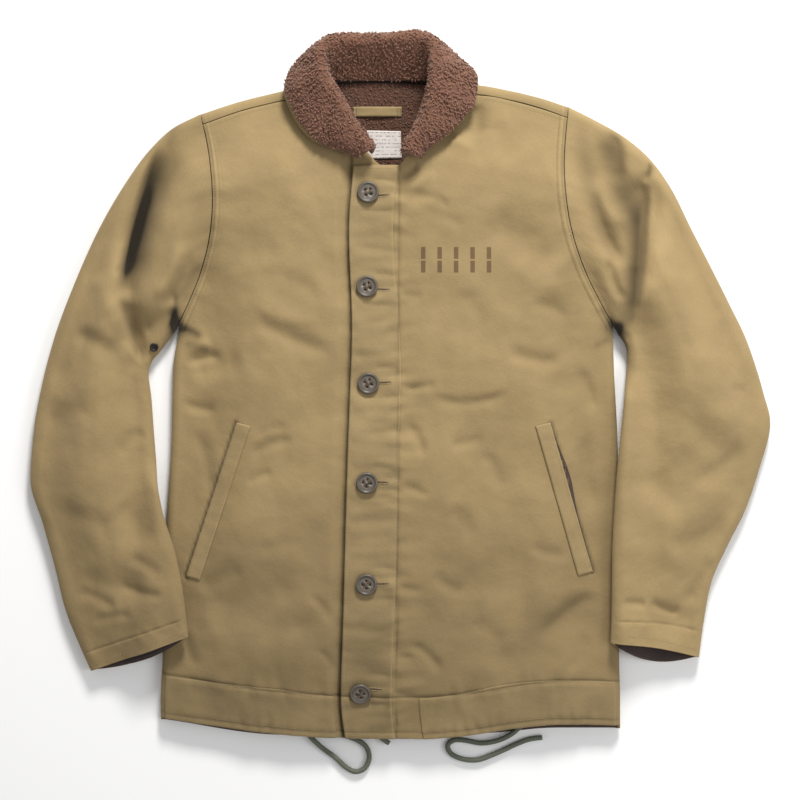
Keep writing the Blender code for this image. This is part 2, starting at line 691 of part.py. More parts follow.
def normals(face, a, b, low_a, high_a, low_b, high_b, step):
    """Unit normals of a face by differences, kept inside its range."""
    a0, a1 = np.maximum(a - step, low_a), np.minimum(a + step, high_a)
    b0, b1 = np.maximum(b - step, low_b), np.minimum(b + step, high_b)
    along_a = face(a1, b) - face(a0, b)
    along_b = face(a, b1) - face(a, b0)
    n = np.cross(along_a, along_b)
    return n / np.maximum(np.linalg.norm(n, axis=-1), 1e-12)[..., None]


def panel_points(face, us, vs, offsets, flip=1.0, high_b=1.0, step=1e-6):
    """Points of a panel at several distances out of its face."""
    v, u = np.meshgrid(np.asarray(vs, float), np.asarray(us, float), indexing="ij")
    n = normals(face, u, v, us[0], us[-1], 0.0, high_b, step) * flip
    p = face(u, v)
    return [p + n * offset for offset in offsets]


def tube_points(face, ss, offsets):
    """Points of a sleeve, ring by ring, at several distances out of its face."""
    c = np.array(RING_TOP + RING_UNDER, float)
    under = np.array([False] * len(RING_TOP) + [True] * len(RING_UNDER))
    s, c = np.meshgrid(np.asarray(ss, float), c, indexing="ij")
    under = np.broadcast_to(under, s.shape)
    step = 1e-6
    c0, c1 = np.maximum(c - step, 0), np.minimum(c + step, 1)
    s0, s1 = np.maximum(s - step, 0), np.minimum(s + step, 1)
    along_c = face(s, c1, under) - face(s, c0, under)
    along_s = face(s1, c, under) - face(s0, c, under)
    n = np.cross(along_s, along_c)
    n = n / np.linalg.norm(n, axis=-1)[..., None]
    p = face(s, c, under)
    up = np.where(under, -1.0, 1.0)
    ends = (c <= 0) | (c >= 1)
    centre = p.mean(axis=1, keepdims=True)
    outside = np.sign(((p - centre) * n)[..., :2].sum(-1))
    sign = np.where(ends, outside, np.sign(n[..., 2]) * up)
    n = n * np.where(sign == 0, 1, sign)[..., None]
    return [p + n * offset for offset in offsets]


def material(name):
    made = bpy.data.materials.get(name)
    if made is None:
        made = bpy.data.materials.new(name)
        made.use_nodes = True
        shader = made.node_tree.nodes["Principled BSDF"]
        finish = FINISHES[name.rsplit(".", 1)[0]]
        shader.inputs["Base Color"].default_value = finish.colour
        shader.inputs["Roughness"].default_value = finish.roughness
        shader.inputs["Metallic"].default_value = 0.0
        made.diffuse_color = finish.colour
    return made


def add_object(name, vertices, faces, finish):
    mesh = bpy.data.meshes.new(name)
    mesh.from_pydata([tuple(float(c) * MM for c in v) for v in vertices], [], [tuple(f) for f in faces])
    mesh.materials.append(material(finish))
    bm = bmesh.new()
    bm.from_mesh(mesh)
    bmesh.ops.triangulate(bm, faces=bm.faces[:], quad_method="SHORT_EDGE")
    if bm.calc_volume(signed=True) < 0:
        bmesh.ops.reverse_faces(bm, faces=bm.faces[:])
    bm.to_mesh(mesh)
    bm.free()
    made = bpy.data.objects.new(name, mesh)
    bpy.context.scene.collection.objects.link(made)
    return made


def solid(name, outside, inside, finish, ring=False):
    """A closed body between two matching grids of points; ring joins the last column to the first."""
    rows, columns = outside.shape[:2]
    vertices = np.concatenate([outside.reshape(-1, 3), inside.reshape(-1, 3)])
    half = rows * columns
    faces = []
    spans = columns if ring else columns - 1
    for i in range(rows - 1):
        for j in range(spans):
            k = (j + 1) % columns
            a, b = i * columns + j, i * columns + k
            c, d = (i + 1) * columns + k, (i + 1) * columns + j
            faces.append((a, b, c, d))
            faces.append((half + d, half + c, half + b, half + a))
    for j in range(spans):
        k = (j + 1) % columns
        top = (rows - 1) * columns
        faces.append((half + j, half + k, k, j))
        faces.append((top + j, top + k, half + top + k, half + top + j))
    if not ring:
        for i in range(rows - 1):
            a, b = i * columns, (i + 1) * columns
            faces.append((a, b, half + b, half + a))
            a, b = a + columns - 1, b + columns - 1
            faces.append((half + a, half + b, b, a))
    return add_object(name, vertices, faces, finish)


def surface_of(made):
    """A searchable copy of an object's surface, in millimetres."""
    vertices = [v.co / MM for v in made.data.vertices]
    return BVHTree.FromPolygons(vertices, [tuple(p.vertices) for p in made.data.polygons])


def drop_on(tree, x, y, from_z=200.0):
    """Where a line straight down meets a surface, and the surface's normal there."""
    spot, normal, _, _ = tree.ray_cast(Vector((x, y, from_z)), Vector((0, 0, -1)))
    return spot, normal


def overlay(name, tree, corners, counts, clearance, thickness, finish, rise=0.0):
    """A thin piece laid on a surface inside four plan corners, given round the piece."""
    a, b, c, d = [np.array(corner, float) for corner in corners]
    across, along = counts
    grid = np.zeros((along, across, 3))
    for i in range(along):
        for j in range(across):
            v, u = i / (along - 1), j / (across - 1)
            plan = (a * (1 - u) + b * u) * (1 - v) + (d * (1 - u) + c * u) * v
            spot, normal = drop_on(tree, plan[0], plan[1])
            arch = rise * math.sin(math.pi * u)
            grid[i, j] = (plan[0], plan[1], spot.z + clearance / max(normal.z, 0.6) + arch)
    top = grid.copy()
    top[..., 2] += thickness
    return solid(name, top, grid, finish)


def circle(radius, count, centre=(0.0, 0.0)):
    angles = [2 * math.pi * i / count for i in range(count)]
    return [(centre[0] + radius * math.cos(t), centre[1] + radius * math.sin(t)) for t in angles]


def button(name, tree, x, y):
    """A four-hole button with a raised rim, resting on a surface."""
    count, hole_count = 18, 6
    holes = [
        (BUTTON_HOLE_SPREAD * i, BUTTON_HOLE_SPREAD * j) for i in (-1, 1) for j in (-1, 1)
    ]
    rings = [
        (BUTTON_RADIUS * 0.86, 0.0),
        (BUTTON_RADIUS, BUTTON_HEIGHT * 0.45),
        (BUTTON_RADIUS * 0.96, BUTTON_HEIGHT * 0.85),
        (BUTTON_RADIUS * 0.88, BUTTON_HEIGHT),
        (BUTTON_RADIUS * 0.78, BUTTON_HEIGHT * 0.95),
        (BUTTON_RADIUS * 0.62, BUTTON_HEIGHT * 0.62),
    ]
    vertices = [(px, py, z) for radius, z in rings for px, py in circle(radius, count)]
    faces = []
    for r in range(len(rings) - 1):
        for i in range(count):
            k = (i + 1) % count
            faces.append((r * count + i, r * count + k, (r + 1) * count + k, (r + 1) * count + i))
    hole_starts = []
    for level, radius, ring_start in ((0.0, rings[0][0], 0), (rings[-1][1], rings[-1][0], (len(rings) - 1) * count)):
        outline = circle(radius, count)
        ids = list(range(ring_start, ring_start + count))
        starts = []
        for centre in holes:
            starts.append(len(vertices))
            for px, py in circle(BUTTON_HOLE, hole_count, centre):
                ids.append(len(vertices))
                outline.append((px, py))
                vertices.append((px, py, level))
        hole_starts.append(starts)
        edges = [(i, (i + 1) % count) for i in range(count)]
        for h in range(len(holes)):
            base = count + h * hole_count
            edges += [(base + i, base + (i + 1) % hole_count) for i in range(hole_count)]
        found = delaunay_2d_cdt([Vector(p) for p in outline], edges, [], 0, 1e-6)
        points, triangles, origin = found[0], found[2], found[3]
        for triangle in triangles:
            mx = sum(points[i][0] for i in triangle) / 3
            my = sum(points[i][1] for i in triangle) / 3
            if any(math.hypot(mx - hx, my - hy) < BUTTON_HOLE * 0.9 for hx, hy in holes):
                continue
            corner_ids = [ids[origin[i][0]] for i in triangle]
            faces.append(corner_ids if level > 0 else corner_ids[::-1])
    for low, high in zip(*hole_starts):
        for i in range(hole_count):
            k = (i + 1) % hole_count
            faces.append((low + k, low + i, high + i, high + k))
    spots = [drop_on(tree, x + px, y + py) for px, py in circle(BUTTON_RADIUS * 0.86, 12)]
    up = Vector((0, 0, 0))
    for _, normal in spots:
        up += normal
    up.normalize()
    if up.z < 0:
        up = -up
    rest = max((spot - Vector((x, y, 0))).dot(up) for spot, _ in spots)
    middle, _ = drop_on(tree, x, y)
    rest = max(rest, (middle - Vector((x, y, 0))).dot(up)) + 0.35
    turn = Vector((0, 0, 1)).rotation_difference(up)
    placed = [turn @ Vector(v) + Vector((x, y, 0)) + up * rest for v in vertices]
    made = add_object(name, placed, faces, "button")
    return made


def ring_on(name, tree, x, y, radius, wire, finish):
    """A round eyelet lying on a surface."""
    count, sides = 14, 5
    spot, up = drop_on(tree, x, y)
    turn = Vector((0, 0, 1)).rotation_difference(up)
    base = spot + up * (wire + 0.45)
    vertices, faces = [], []
    for i in range(count):
        a = 2 * math.pi * i / count
        for j in range(sides):
            b = 2 * math.pi * j / sides
            r = radius + wire * math.cos(b)
            vertices.append(base + turn @ Vector((r * math.cos(a), r * math.sin(a), wire * math.sin(b))))
            k, m = (i + 1) % count, (j + 1) % sides
            faces.append((i * sides + j, k * sides + j, k * sides + m, i * sides + m))
    return add_object(name, vertices, faces, finish)


def even_points(points, count):
    """Points spaced evenly along a smooth line through a route."""
    route = np.array(points, float)
    padded = np.vstack([2 * route[0] - route[1], route, 2 * route[-1] - route[-2]])
    dense = []
    for i in range(len(route) - 1):
        p0, p1, p2, p3 = padded[i : i + 4]
        for t in np.linspace(0, 1, 16, endpoint=False):
            dense.append(
                0.5 * (2 * p1 + (p2 - p0) * t + (2 * p0 - 5 * p1 + 4 * p2 - p3) * t**2
                       + (3 * p1 - p0 - 3 * p2 + p3) * t**3)
            )
    dense.append(route[-1])
    dense = np.array(dense)
    length = np.concatenate([[0], np.cumsum(np.linalg.norm(np.diff(dense, axis=0), axis=1))])
    at = np.linspace(0, length[-1], count)
    return np.stack([np.interp(at, length, dense[:, k]) for k in range(3)], -1)


def cord(name, route):
    """A round cord along a route."""
    data = bpy.data.curves.new(name, "CURVE")
    data.dimensions = "3D"
    data.bevel_depth = CORD_DIAMETER / 2 * MM
    data.bevel_resolution = 2
    data.use_fill_caps = True
    spline = data.splines.new("POLY")
    points = even_points(route, CORD_POINTS)
    spline.points.add(len(points) - 1)
    for target, p in zip(spline.points, points):
        target.co = (p[0] * MM, p[1] * MM, p[2] * MM, 1)
    data.materials.append(material("cord"))
    made = bpy.data.objects.new(name, data)
    bpy.context.scene.collection.objects.link(made)
    return made


def build_shell():
    left_us = [c.u for c in FRONT_LEFT_COLUMNS]
    right_us = [c.u for c in FRONT_RIGHT_COLUMNS]
    body_rows = BODY_ROWS + armhole_rows(RING_TOP[:2:-1], STRIP_SHARE)
    back_rows = BACK_ROWS + armhole_rows(RING_UNDER[1:7], WRAP_SHARE)
    outer, inner = panel_points(front_left, left_us, body_rows, (0, -WALL))
    solid("front_left", outer, inner, "cloth.front_left")
    band, over = panel_points(front_left, left_us, body_rows, (SEAM, SEAM + BAND_WALL))
    n = BAND_COLUMNS
    front_band = solid("front_band", over[:, :n], band[:, :n], "trim_cloth.front_band")
    base, over = panel_points(front_left, left_us, body_rows, (SEAM, SEAM + HEM_WALL))
    solid("hem_band_left", over[:HEM_ROWS, HEM_COLUMN_LEFT:-2], base[:HEM_ROWS, HEM_COLUMN_LEFT:-2],
          "trim_cloth.hem_band_left")
    outer, inner = panel_points(front_right, right_us, body_rows, (0, -WALL), flip=-1.0)
    solid("front_right", outer, inner, "cloth.front_right")
    base, over = panel_points(front_right, right_us, body_rows, (SEAM, SEAM + HEM_WALL), flip=-1.0)
    solid("hem_band_right", over[:HEM_ROWS, HEM_COLUMN_RIGHT:-2], base[:HEM_ROWS, HEM_COLUMN_RIGHT:-2],
          "trim_cloth.hem_band_right")
    rows = back_rows + [1 + r for r in WRAP_ROWS]
    outer, inner = panel_points(back_face, BACK_COLUMNS, rows, (0, -WALL), flip=-1.0, high_b=2.0)
    solid("back", outer, inner, "cloth.back")
    return front_band


def build_sleeves():
    for side, face in (("right", sleeve_right), ("left", sleeve_left)):
        outer, inner = tube_points(face, np.linspace(0, 1, SLEEVE_ROWS), (0, -WALL))
        solid("sleeve_" + side, outer, inner, "cloth.sleeve_" + side, ring=True)
        gap = WALL + CUFF_GAP
        outer, inner = tube_points(face, (CUFF_START, 0.995), (-gap, -gap - CUFF_WALL))
        solid("cuff_lining_" + side, outer, inner, "knit.cuff_lining_" + side, ring=True)


def build_collar():
    ss = np.linspace(0, 1, COLLAR_SAMPLES)
    outer, inner = panel_points(collar_face, ss, PILE_STEPS, (0, -PILE_WALL))
    solid("collar", outer, inner, "pile.collar")
    depth = PILE_WALL + 2 * SEAM
    outer, inner = panel_points(collar_face, ss[2:-2], UNDER_STEPS, (-depth, -depth - UNDER_WALL), high_b=2.0)
    solid("under_collar", outer, inner, "trim_cloth.under_collar")
    us = np.linspace(0, 1, 8)
    vs = np.linspace(0, 1, 8)
    outer, inner = panel_points(lining_face, us, vs, (0, -LINING_WALL))
    return solid("neck_lining", outer, inner, "lining.neck_lining")


def build_small(front_band, neck_lining):
    tree = surface_of(neck_lining)
    x0, x1 = LOOP_X
    y0, y1 = LOOP_Y
    overlay("locker_loop", tree, [(x0, y0), (x1, y0), (x1, y1), (x0, y1)], (9, 2), 0.35,
            LABEL_WALL, "trim_cloth.locker_loop", rise=LOOP_RISE)
    x0, x1 = LABEL_X
    y0, y1 = LABEL_Y
    overlay("neck_label", tree, [(x0, y0), (x1, y0), (x1, y1), (x0, y1)], (3, 3), 0.35,
            LABEL_WALL, "label.neck_label")
    for side, w in WELTS.items():
        tree = surface_of(bpy.data.objects["front_" + side])
        corners = [(w.top_x, w.top_y), (w.top_x + w.width, w.top_y - 4),
                   (w.bottom_x + w.width, w.bottom_y - 4), (w.bottom_x, w.bottom_y)]
        overlay("pocket_welt_" + side, tree, corners, (4, 16), 0.6, WELT_WALL,
                "trim_cloth.pocket_welt_" + side)
    tree = surface_of(front_band)
    for i, spot in enumerate(BUTTONS):
        made = button("button_%d" % (i + 1), tree, spot.x, spot.y)
        made.data.materials[0] = material("button.button_%d" % (i + 1))
    tree = surface_of(bpy.data.objects["sleeve_right"])
    ring_on("underarm_eyelet", tree, EYELET[0], EYELET[1], EYELET_RADIUS, EYELET_WIRE,
            "metal.underarm_eyelet")


def recentre():
    """Put the middle of the jacket's box over the origin and its lowest point on the table."""
    low, high = Vector((9, 9, 9)), Vector((-9, -9, -9))
    for made in bpy.data.objects:
        if made.type == "MESH":
            for v in made.data.vertices:
                for k in range(3):
                    low[k] = min(low[k], v.co[k])
                    high[k] = max(high[k], v.co[k])
    shift = Vector(((low.x + high.x) / 2, (low.y + high.y) / 2, low.z))
    for made in bpy.data.objects:
        if made.type == "MESH":
            for v in made.data.vertices:
                v.co -= shift
        else:
            for p in made.data.splines[0].points:
                p.co = (p.co.x - shift.x, p.co.y - shift.y, p.co.z - shift.z, 1)


for old in list(bpy.data.objects):
    bpy.data.objects.remove(old)

band_object = build_shell()
build_sleeves()
lining_object = build_collar()
build_small(band_object, lining_object)
cord("drawcord_right", CORD_RIGHT)
cord("drawcord_left", CORD_LEFT)
recentre()
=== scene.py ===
"""Looks of a deck jacket laid flat: ribbed cloth with wear and painted shade, pile collar, stitching,
buttons and hem cords.

Tables and folds are in millimetres from the middle of the hem, as in the part's own source.
The shapes are moved into the frame by the place of the lining that shows in the neck.
"""

import math
from collections import namedtuple

import bmesh
import bpy
import numpy as np
from mathutils import Matrix, Vector
from mathutils.bvhtree import BVHTree
from mathutils.geometry import delaunay_2d_cdt


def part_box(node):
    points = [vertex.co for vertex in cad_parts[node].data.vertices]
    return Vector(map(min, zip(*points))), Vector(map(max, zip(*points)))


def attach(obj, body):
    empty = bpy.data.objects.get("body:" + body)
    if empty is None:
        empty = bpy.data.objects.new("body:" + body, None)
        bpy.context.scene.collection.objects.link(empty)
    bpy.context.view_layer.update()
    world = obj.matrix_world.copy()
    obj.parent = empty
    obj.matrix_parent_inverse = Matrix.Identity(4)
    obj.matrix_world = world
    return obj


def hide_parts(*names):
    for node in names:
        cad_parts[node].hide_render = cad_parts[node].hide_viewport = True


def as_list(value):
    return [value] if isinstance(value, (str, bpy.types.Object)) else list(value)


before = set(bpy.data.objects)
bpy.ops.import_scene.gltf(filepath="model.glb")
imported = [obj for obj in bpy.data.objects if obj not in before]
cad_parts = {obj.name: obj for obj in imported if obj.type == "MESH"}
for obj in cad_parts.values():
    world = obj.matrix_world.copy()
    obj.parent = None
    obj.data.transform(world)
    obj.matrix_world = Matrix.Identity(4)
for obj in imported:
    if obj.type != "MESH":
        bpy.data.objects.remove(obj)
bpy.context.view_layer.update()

MM = 0.001

# Driving sizes
WALL = 3.0
SEAM = 0.3
EDGE_HALF = 7.5
EDGE_ROLL = 10.0
BODY_RISE = 90.0
ARMPIT_RIGHT = (-235.0, 444.0)
ARMPIT_LEFT = (246.0, 444.0)
SHOULDER_RIGHT = (-210.0, 679.0)
SHOULDER_LEFT = (196.0, 687.0)
ARMHOLES = ((SHOULDER_RIGHT, ARMPIT_RIGHT), (SHOULDER_LEFT, ARMPIT_LEFT))
ARMHOLE_BOW = 26.0
ARMHOLE_BOW_BACK = 20.0
SHOULDER_STRIP = 11.0
SHOULDER_GAP = 0.9
ARMHOLE_GAP = 0.8
STRIP_SHARE = 0.0466
WRAP_SHARE = 0.0508
UNDERLAP = 46.0
UNDERLAP_SINK = 4.4
BAND_WALL = 1.5
HEM_WALL = 1.2
WELT_WALL = 1.8
PILE_WALL = 4.5
UNDER_WALL = 1.3
COLLAR_ROLL = 9.2
COLLAR_FOOT = 3.4
LINING_WALL = 5.5
CUFF_WALL = 1.2
CUFF_GAP = 0.9
BUTTON_RADIUS = 11.8
BUTTON_HOLE = 1.25
BUTTON_HOLE_SPREAD = 2.9
CORD_DIAMETER = 5.6

# Outline of the body: half sections at a height y up the garment
Side = namedtuple("Side", "y left right crown")
SIDES = [
    Side(-20, -254, 254, 18),
    Side(30, -255, 254, 22),
    Side(75, -253, 253, 27),
    Side(195, -250, 253, 32),
    Side(320, -243, 251, 33),
    Side(400, -241, 247, 33),
    Side(444, -235, 246, 33),
    Side(560, -272, 276, 33),
    Side(730, -310, 300, 31),
]

# Curves across the garment, read by x
Across = namedtuple("Across", "x y")
RIDGE = [
    Across(-300, 650),
    Across(-210, 679),
    Across(-167, 693),
    Across(-118, 705),
    Across(-88, 712),
    Across(-60, 722),
    Across(-14, 724),
    Across(36, 722),
    Across(60, 713),
    Across(98, 711),
    Across(132, 705),
    Across(169, 696),
    Across(196, 687),
    Across(300, 660),
]
FRONT_HEM = [
    Across(-255, 12),
    Across(-200, 4),
    Across(-118, -6),
    Across(-60, -10),
    Across(35, -11),
    Across(68, -9),
    Across(107, -4),
    Across(139, 1),
    Across(184, 5),
    Across(255, 3),
]
BACK_HEM = [
    Across(-255, 9),
    Across(-118, -9),
    Across(0, -9),
    Across(107, -7),
    Across(184, -1),
    Across(255, -1),
]

# Edge of the button band up the centre front
Along = namedtuple("Along", "y x")
BAND_EDGE = [
    Along(-14, -50),
    Along(30, -55),
    Along(130, -52),
    Along(228, -49.5),
    Along(365, -45),
    Along(440, -42.5),
    Along(549, -46),
    Along(619, -41),
]

# Columns of the two front panels: where each starts at the hem and ends at the top edge
Column = namedtuple("Column", "u hem_x top_x top_y")
FRONT_LEFT_COLUMNS = [
    Column(0.00, -50, -41, 619),
    Column(0.055, -30, -22, 620),
    Column(0.11, -10, -5, 620),
    Column(0.15, 5, 8, 620),
    Column(0.21, 36, 17, 630),
    Column(0.29, 64, 28, 645),
    Column(0.38, 92, 40, 665),
    Column(0.48, 122, 53, None),
    Column(0.58, 149, 80, None),
    Column(0.68, 176, 108, None),
    Column(0.78, 201, 136, None),
    Column(0.87, 224, 160, None),
    Column(0.94, 242, 180, None),
    Column(0.975, 248, 187, None),
    Column(0.992, 252.2, 191, None),
    Column(1.00, 254, 193, None),
]
FRONT_RIGHT_COLUMNS = [
    Column(0.00, -4, 4, 612),
    Column(0.10, -28, -14, 622),
    Column(0.20, -50, -30, 640),
    Column(0.25, -60, -40, 650),
    Column(0.32, -82, -54, 665),
    Column(0.40, -104, -68, 682),
    Column(0.48, -128, -82, None),
    Column(0.58, -152, -108, None),
    Column(0.68, -176, -135, None),
    Column(0.78, -201, -162, None),
    Column(0.87, -224, -184, None),
    Column(0.94, -242, -199, None),
    Column(0.975, -248, -204, None),
    Column(0.992, -252.2, -206.5, None),
    Column(1.00, -254, -207.5, None),
]
ARMPIT_ROW = 0.64

# Sections of the sleeves from the armhole to the cuff
Section = namedtuple("Section", "outer_x outer_y inner_x inner_y loft bow_top bow_under")
SLEEVE_RIGHT = [
    Section(-210, 679, -235, 444, 26, -26, -20),
    Section(-240, 664, -239, 438, 30, -22, -17),
    Section(-268, 638, -244, 431, 33, -16, -12),
    Section(-296, 599, -250, 423, 35, -9, -7),
    Section(-324, 550, -257, 414, 36, -4, -3),
    Section(-350, 492, -265, 404, 37, 0, 0),
    Section(-372, 433, -268, 390, 37, 0, 0),
    Section(-386, 380, -265, 365, 37, 0, 0),
    Section(-395, 330, -262, 325, 36, 0, 0),
    Section(-399, 275, -258, 280, 35, 0, 0),
    Section(-385, 225, -250, 238, 33, 0, 0),
    Section(-372, 178, -237, 196, 31, 0, 0),
    Section(-361, 133, -229, 158, 28, 0, 2),
    Section(-345, 92, -225, 126, 25, 0, 5),
    Section(-332, 63, -222, 103, 24, 0, 9),
]
SLEEVE_LEFT = [
    Section(196, 687, 246, 444, 26, -26, -20),
    Section(226, 672, 248, 441, 30, -22, -17),
    Section(256, 655, 250.5, 437, 33, -16, -12),
    Section(285, 631, 253, 433, 35, -10, -8),
    Section(310, 597, 256, 429, 36, -5, -4),
    Section(332, 553, 259, 424, 37, -1, -1),
    Section(353, 512, 261, 417, 37, 0, 0),
    Section(374, 470, 261.5, 406, 37, 0, 0),
    Section(394, 428, 260, 390, 37, 0, 0),
    Section(412, 372, 256, 360, 37, 0, 0),
    Section(420, 336, 252, 322, 37, 0, 0),
    Section(408, 287, 248, 280, 35, 0, 0),
    Section(392, 240, 245, 236, 33, 0, 0),
    Section(373, 202, 243, 194, 30, 0, 0),
    Section(354, 158, 242.5, 154, 27, -1, 2),
    Section(346, 115, 242, 120, 25, -3, 8),
    Section(341, 78, 241, 96, 24, -3, 14),
]
SLEEVE_HALF = 9.0
SLEEVE_ROLL = 14.0
SLEEVE_DIP = 7.5
CUFF_START = 0.946
LIFT_REACH = 45.0
LIFT_RUN = 40.0
LIFT_START_RIGHT = 300.0
LIFT_START_LEFT = 400.0

# Stations of the shawl collar, from the wearer's right front round the neck to the left.
# seam: foot of the collar; roll: axis it turns over; edge: free edge of the turned part.
Station = namedtuple("Station", "seam_x seam_y foot_z roll_x roll_y roll_z edge_x edge_y edge_z")
COLLAR = [
    Station(-21, 632, 34.5, -24, 633, 45, -34, 625, 42),
    Station(-34, 645, 33.5, -33, 647, 44, -49, 632, 41),
    Station(-49, 659, 29.5, -42, 658, 43, -76, 642, 40),
    Station(-62, 675, 23.5, -54, 678, 42, -96, 661, 36),
    Station(-74, 690, 18.5, -65, 697, 41, -110, 686, 31),
    Station(-81, 704, 17.5, -76, 718, 40, -117, 706, 26),
    Station(-79, 714, 16.5, -78, 736, 36, -111, 728, 15),
    Station(-69, 719, 17, -71, 750, 31, -90, 743, 7),
    Station(-52, 719, 14.5, -56, 756, 26, -62, 741, 1.5),
    Station(-14, 719, 12, -14, 756, 25, -14, 739, 1.5),
    Station(27, 719, 14.5, 27, 759, 26, 34, 742, 1.5),
    Station(43, 719, 17, 42, 754, 31, 60, 748, 7),
    Station(52, 714, 16.5, 50, 739, 36, 80, 737, 15),
    Station(54, 704, 17.5, 51, 719, 40, 96, 716, 26),
    Station(50, 689, 19, 46.5, 694, 41, 93, 690, 31),
    Station(43, 672, 24.5, 39, 671, 42, 79, 670, 36),
    Station(34, 655, 30, 31.5, 652, 43, 62, 652, 40),
    Station(25, 641, 33.5, 23.5, 641, 44, 43, 638, 41),
    Station(18, 629, 34.5, 20, 630, 45, 32, 625, 42),
]
COLLAR_SAMPLES = 33
TURN_RIGHT = 6.0
TURN_LEFT = 3.0

# The largest folds of the upper surface: a line, how far it bows, its height and its two widths
Fold = namedtuple("Fold", "x0 y0 x1 y1 bend height left right")
FOLDS = [
    Fold(-250, 668, -294, 470, -8, -17, 34, 14),
    Fold(-296, 505, -274, 410, 0, -11, 14, 20),
    Fold(-232, 456, -276, 436, 0, -5, 12, 12),
    Fold(-352, 420, -290, 408, 6, -4, 20, 20),
    Fold(-300, 250, -262, 205, 0, -5, 18, 18),
    Fold(-345, 160, -262, 152, 4, -5, 15, 15),
    Fold(204, 660, 262, 505, -10, -12, 26, 20),
    Fold(236, 656, 262, 560, -6, -8, 15, 15),
    Fold(287, 616, 266, 470, 4, -16, 14, 30),
    Fold(368, 340, 285, 240, 8, -5, 24, 24),
    Fold(395, 330, 300, 400, -10, 4, 30, 30),
    Fold(345, 128, 278, 118, 4, -4, 14, 14),
    Fold(110, 575, 196, 515, -14, -7, 26, 22),
    Fold(176, 490, 206, 400, -4, -4, 20, 20),
    Fold(235, 140, 108, 52, -6, -7, 24, 24),
    Fold(60, 160, 165, 138, 4, -4, 26, 26),
    Fold(-175, 600, -160, 500, 6, -4, 26, 26),
    Fold(-200, 110, -95, 160, 8, -5, 30, 30),
    Fold(-226, 398, -160, 410, -5, -4, 14, 14),
]

# Small pieces
Welt = namedtuple("Welt", "top_x top_y bottom_x bottom_y width")
WELTS = {
    "right": Welt(-169, 338, -226, 168, 15.5),
    "left": Welt(175, 338, 223, 173, -17.0),
}
BUTTONS = [
    Across(-26, 588),
    Across(-25, 485),
    Across(-24, 383),
    Across(-27, 274),
    Across(-26, 163),
    Across(-33, 46),
]
LINING_X = (-72, 45)
LINING_START = 588
LINING_BELOW_RIDGE = 10.5
LOOP_X = (-42, 12)
LOOP_Y = (676, 687)
LOOP_RISE = 2.5
LABEL_X = (-29, 12)
LABEL_Y = (629, 660)
EYELET = (-261, 421)
EYELET_RADIUS = 3.6
EYELET_WIRE = 1.3

# Route of each hem cord: plan position and height of its centre line
CORD_LIFT = CORD_DIAMETER / 2 + 0.1
HEM_REST = WALL + CORD_LIFT + 0.3
Point = namedtuple("Point", "x y z")
CORD_RIGHT = [
    Point(-118, 14, HEM_REST), Point(-104, 3, HEM_REST), Point(-93, -7, HEM_REST),
    Point(-84, -16, HEM_REST), Point(-74, -25, 4.2), Point(-62, -34, CORD_LIFT),
    Point(-50, -45, CORD_LIFT), Point(-39, -50, CORD_LIFT), Point(-29, -46, CORD_LIFT),
    Point(-24, -35, CORD_LIFT), Point(-27, -23, CORD_LIFT + 0.6), Point(-36, -15, HEM_REST),
    Point(-49, -10, HEM_REST), Point(-62, -6, HEM_REST), Point(-70, 3, HEM_REST),
    Point(-67, 14, HEM_REST), Point(-54, 20, HEM_REST), Point(-40, 16, HEM_REST),
    Point(-28, 6, HEM_REST), Point(-18, -6, HEM_REST), Point(-9, -13, HEM_REST),
    Point(-2, -18, 5.4),
]
CORD_LEFT = [
    Point(162, 30, HEM_REST), Point(157, 16, HEM_REST), Point(146, 3, HEM_REST),
    Point(133, -8, HEM_REST), Point(118, -15, HEM_REST), Point(100, -18, 4.0),
    Point(82, -15, CORD_LIFT + 0.6), Point(70, -15, CORD_LIFT), Point(63, -21, CORD_LIFT),
    Point(67, -30, CORD_LIFT), Point(80, -36, CORD_LIFT), Point(96, -37, CORD_LIFT),
    Point(111, -32, CORD_LIFT), Point(125, -26, CORD_LIFT), Point(140, -19, CORD_LIFT),
    Point(154, -14, CORD_LIFT), Point(168, -12, CORD_LIFT),
]

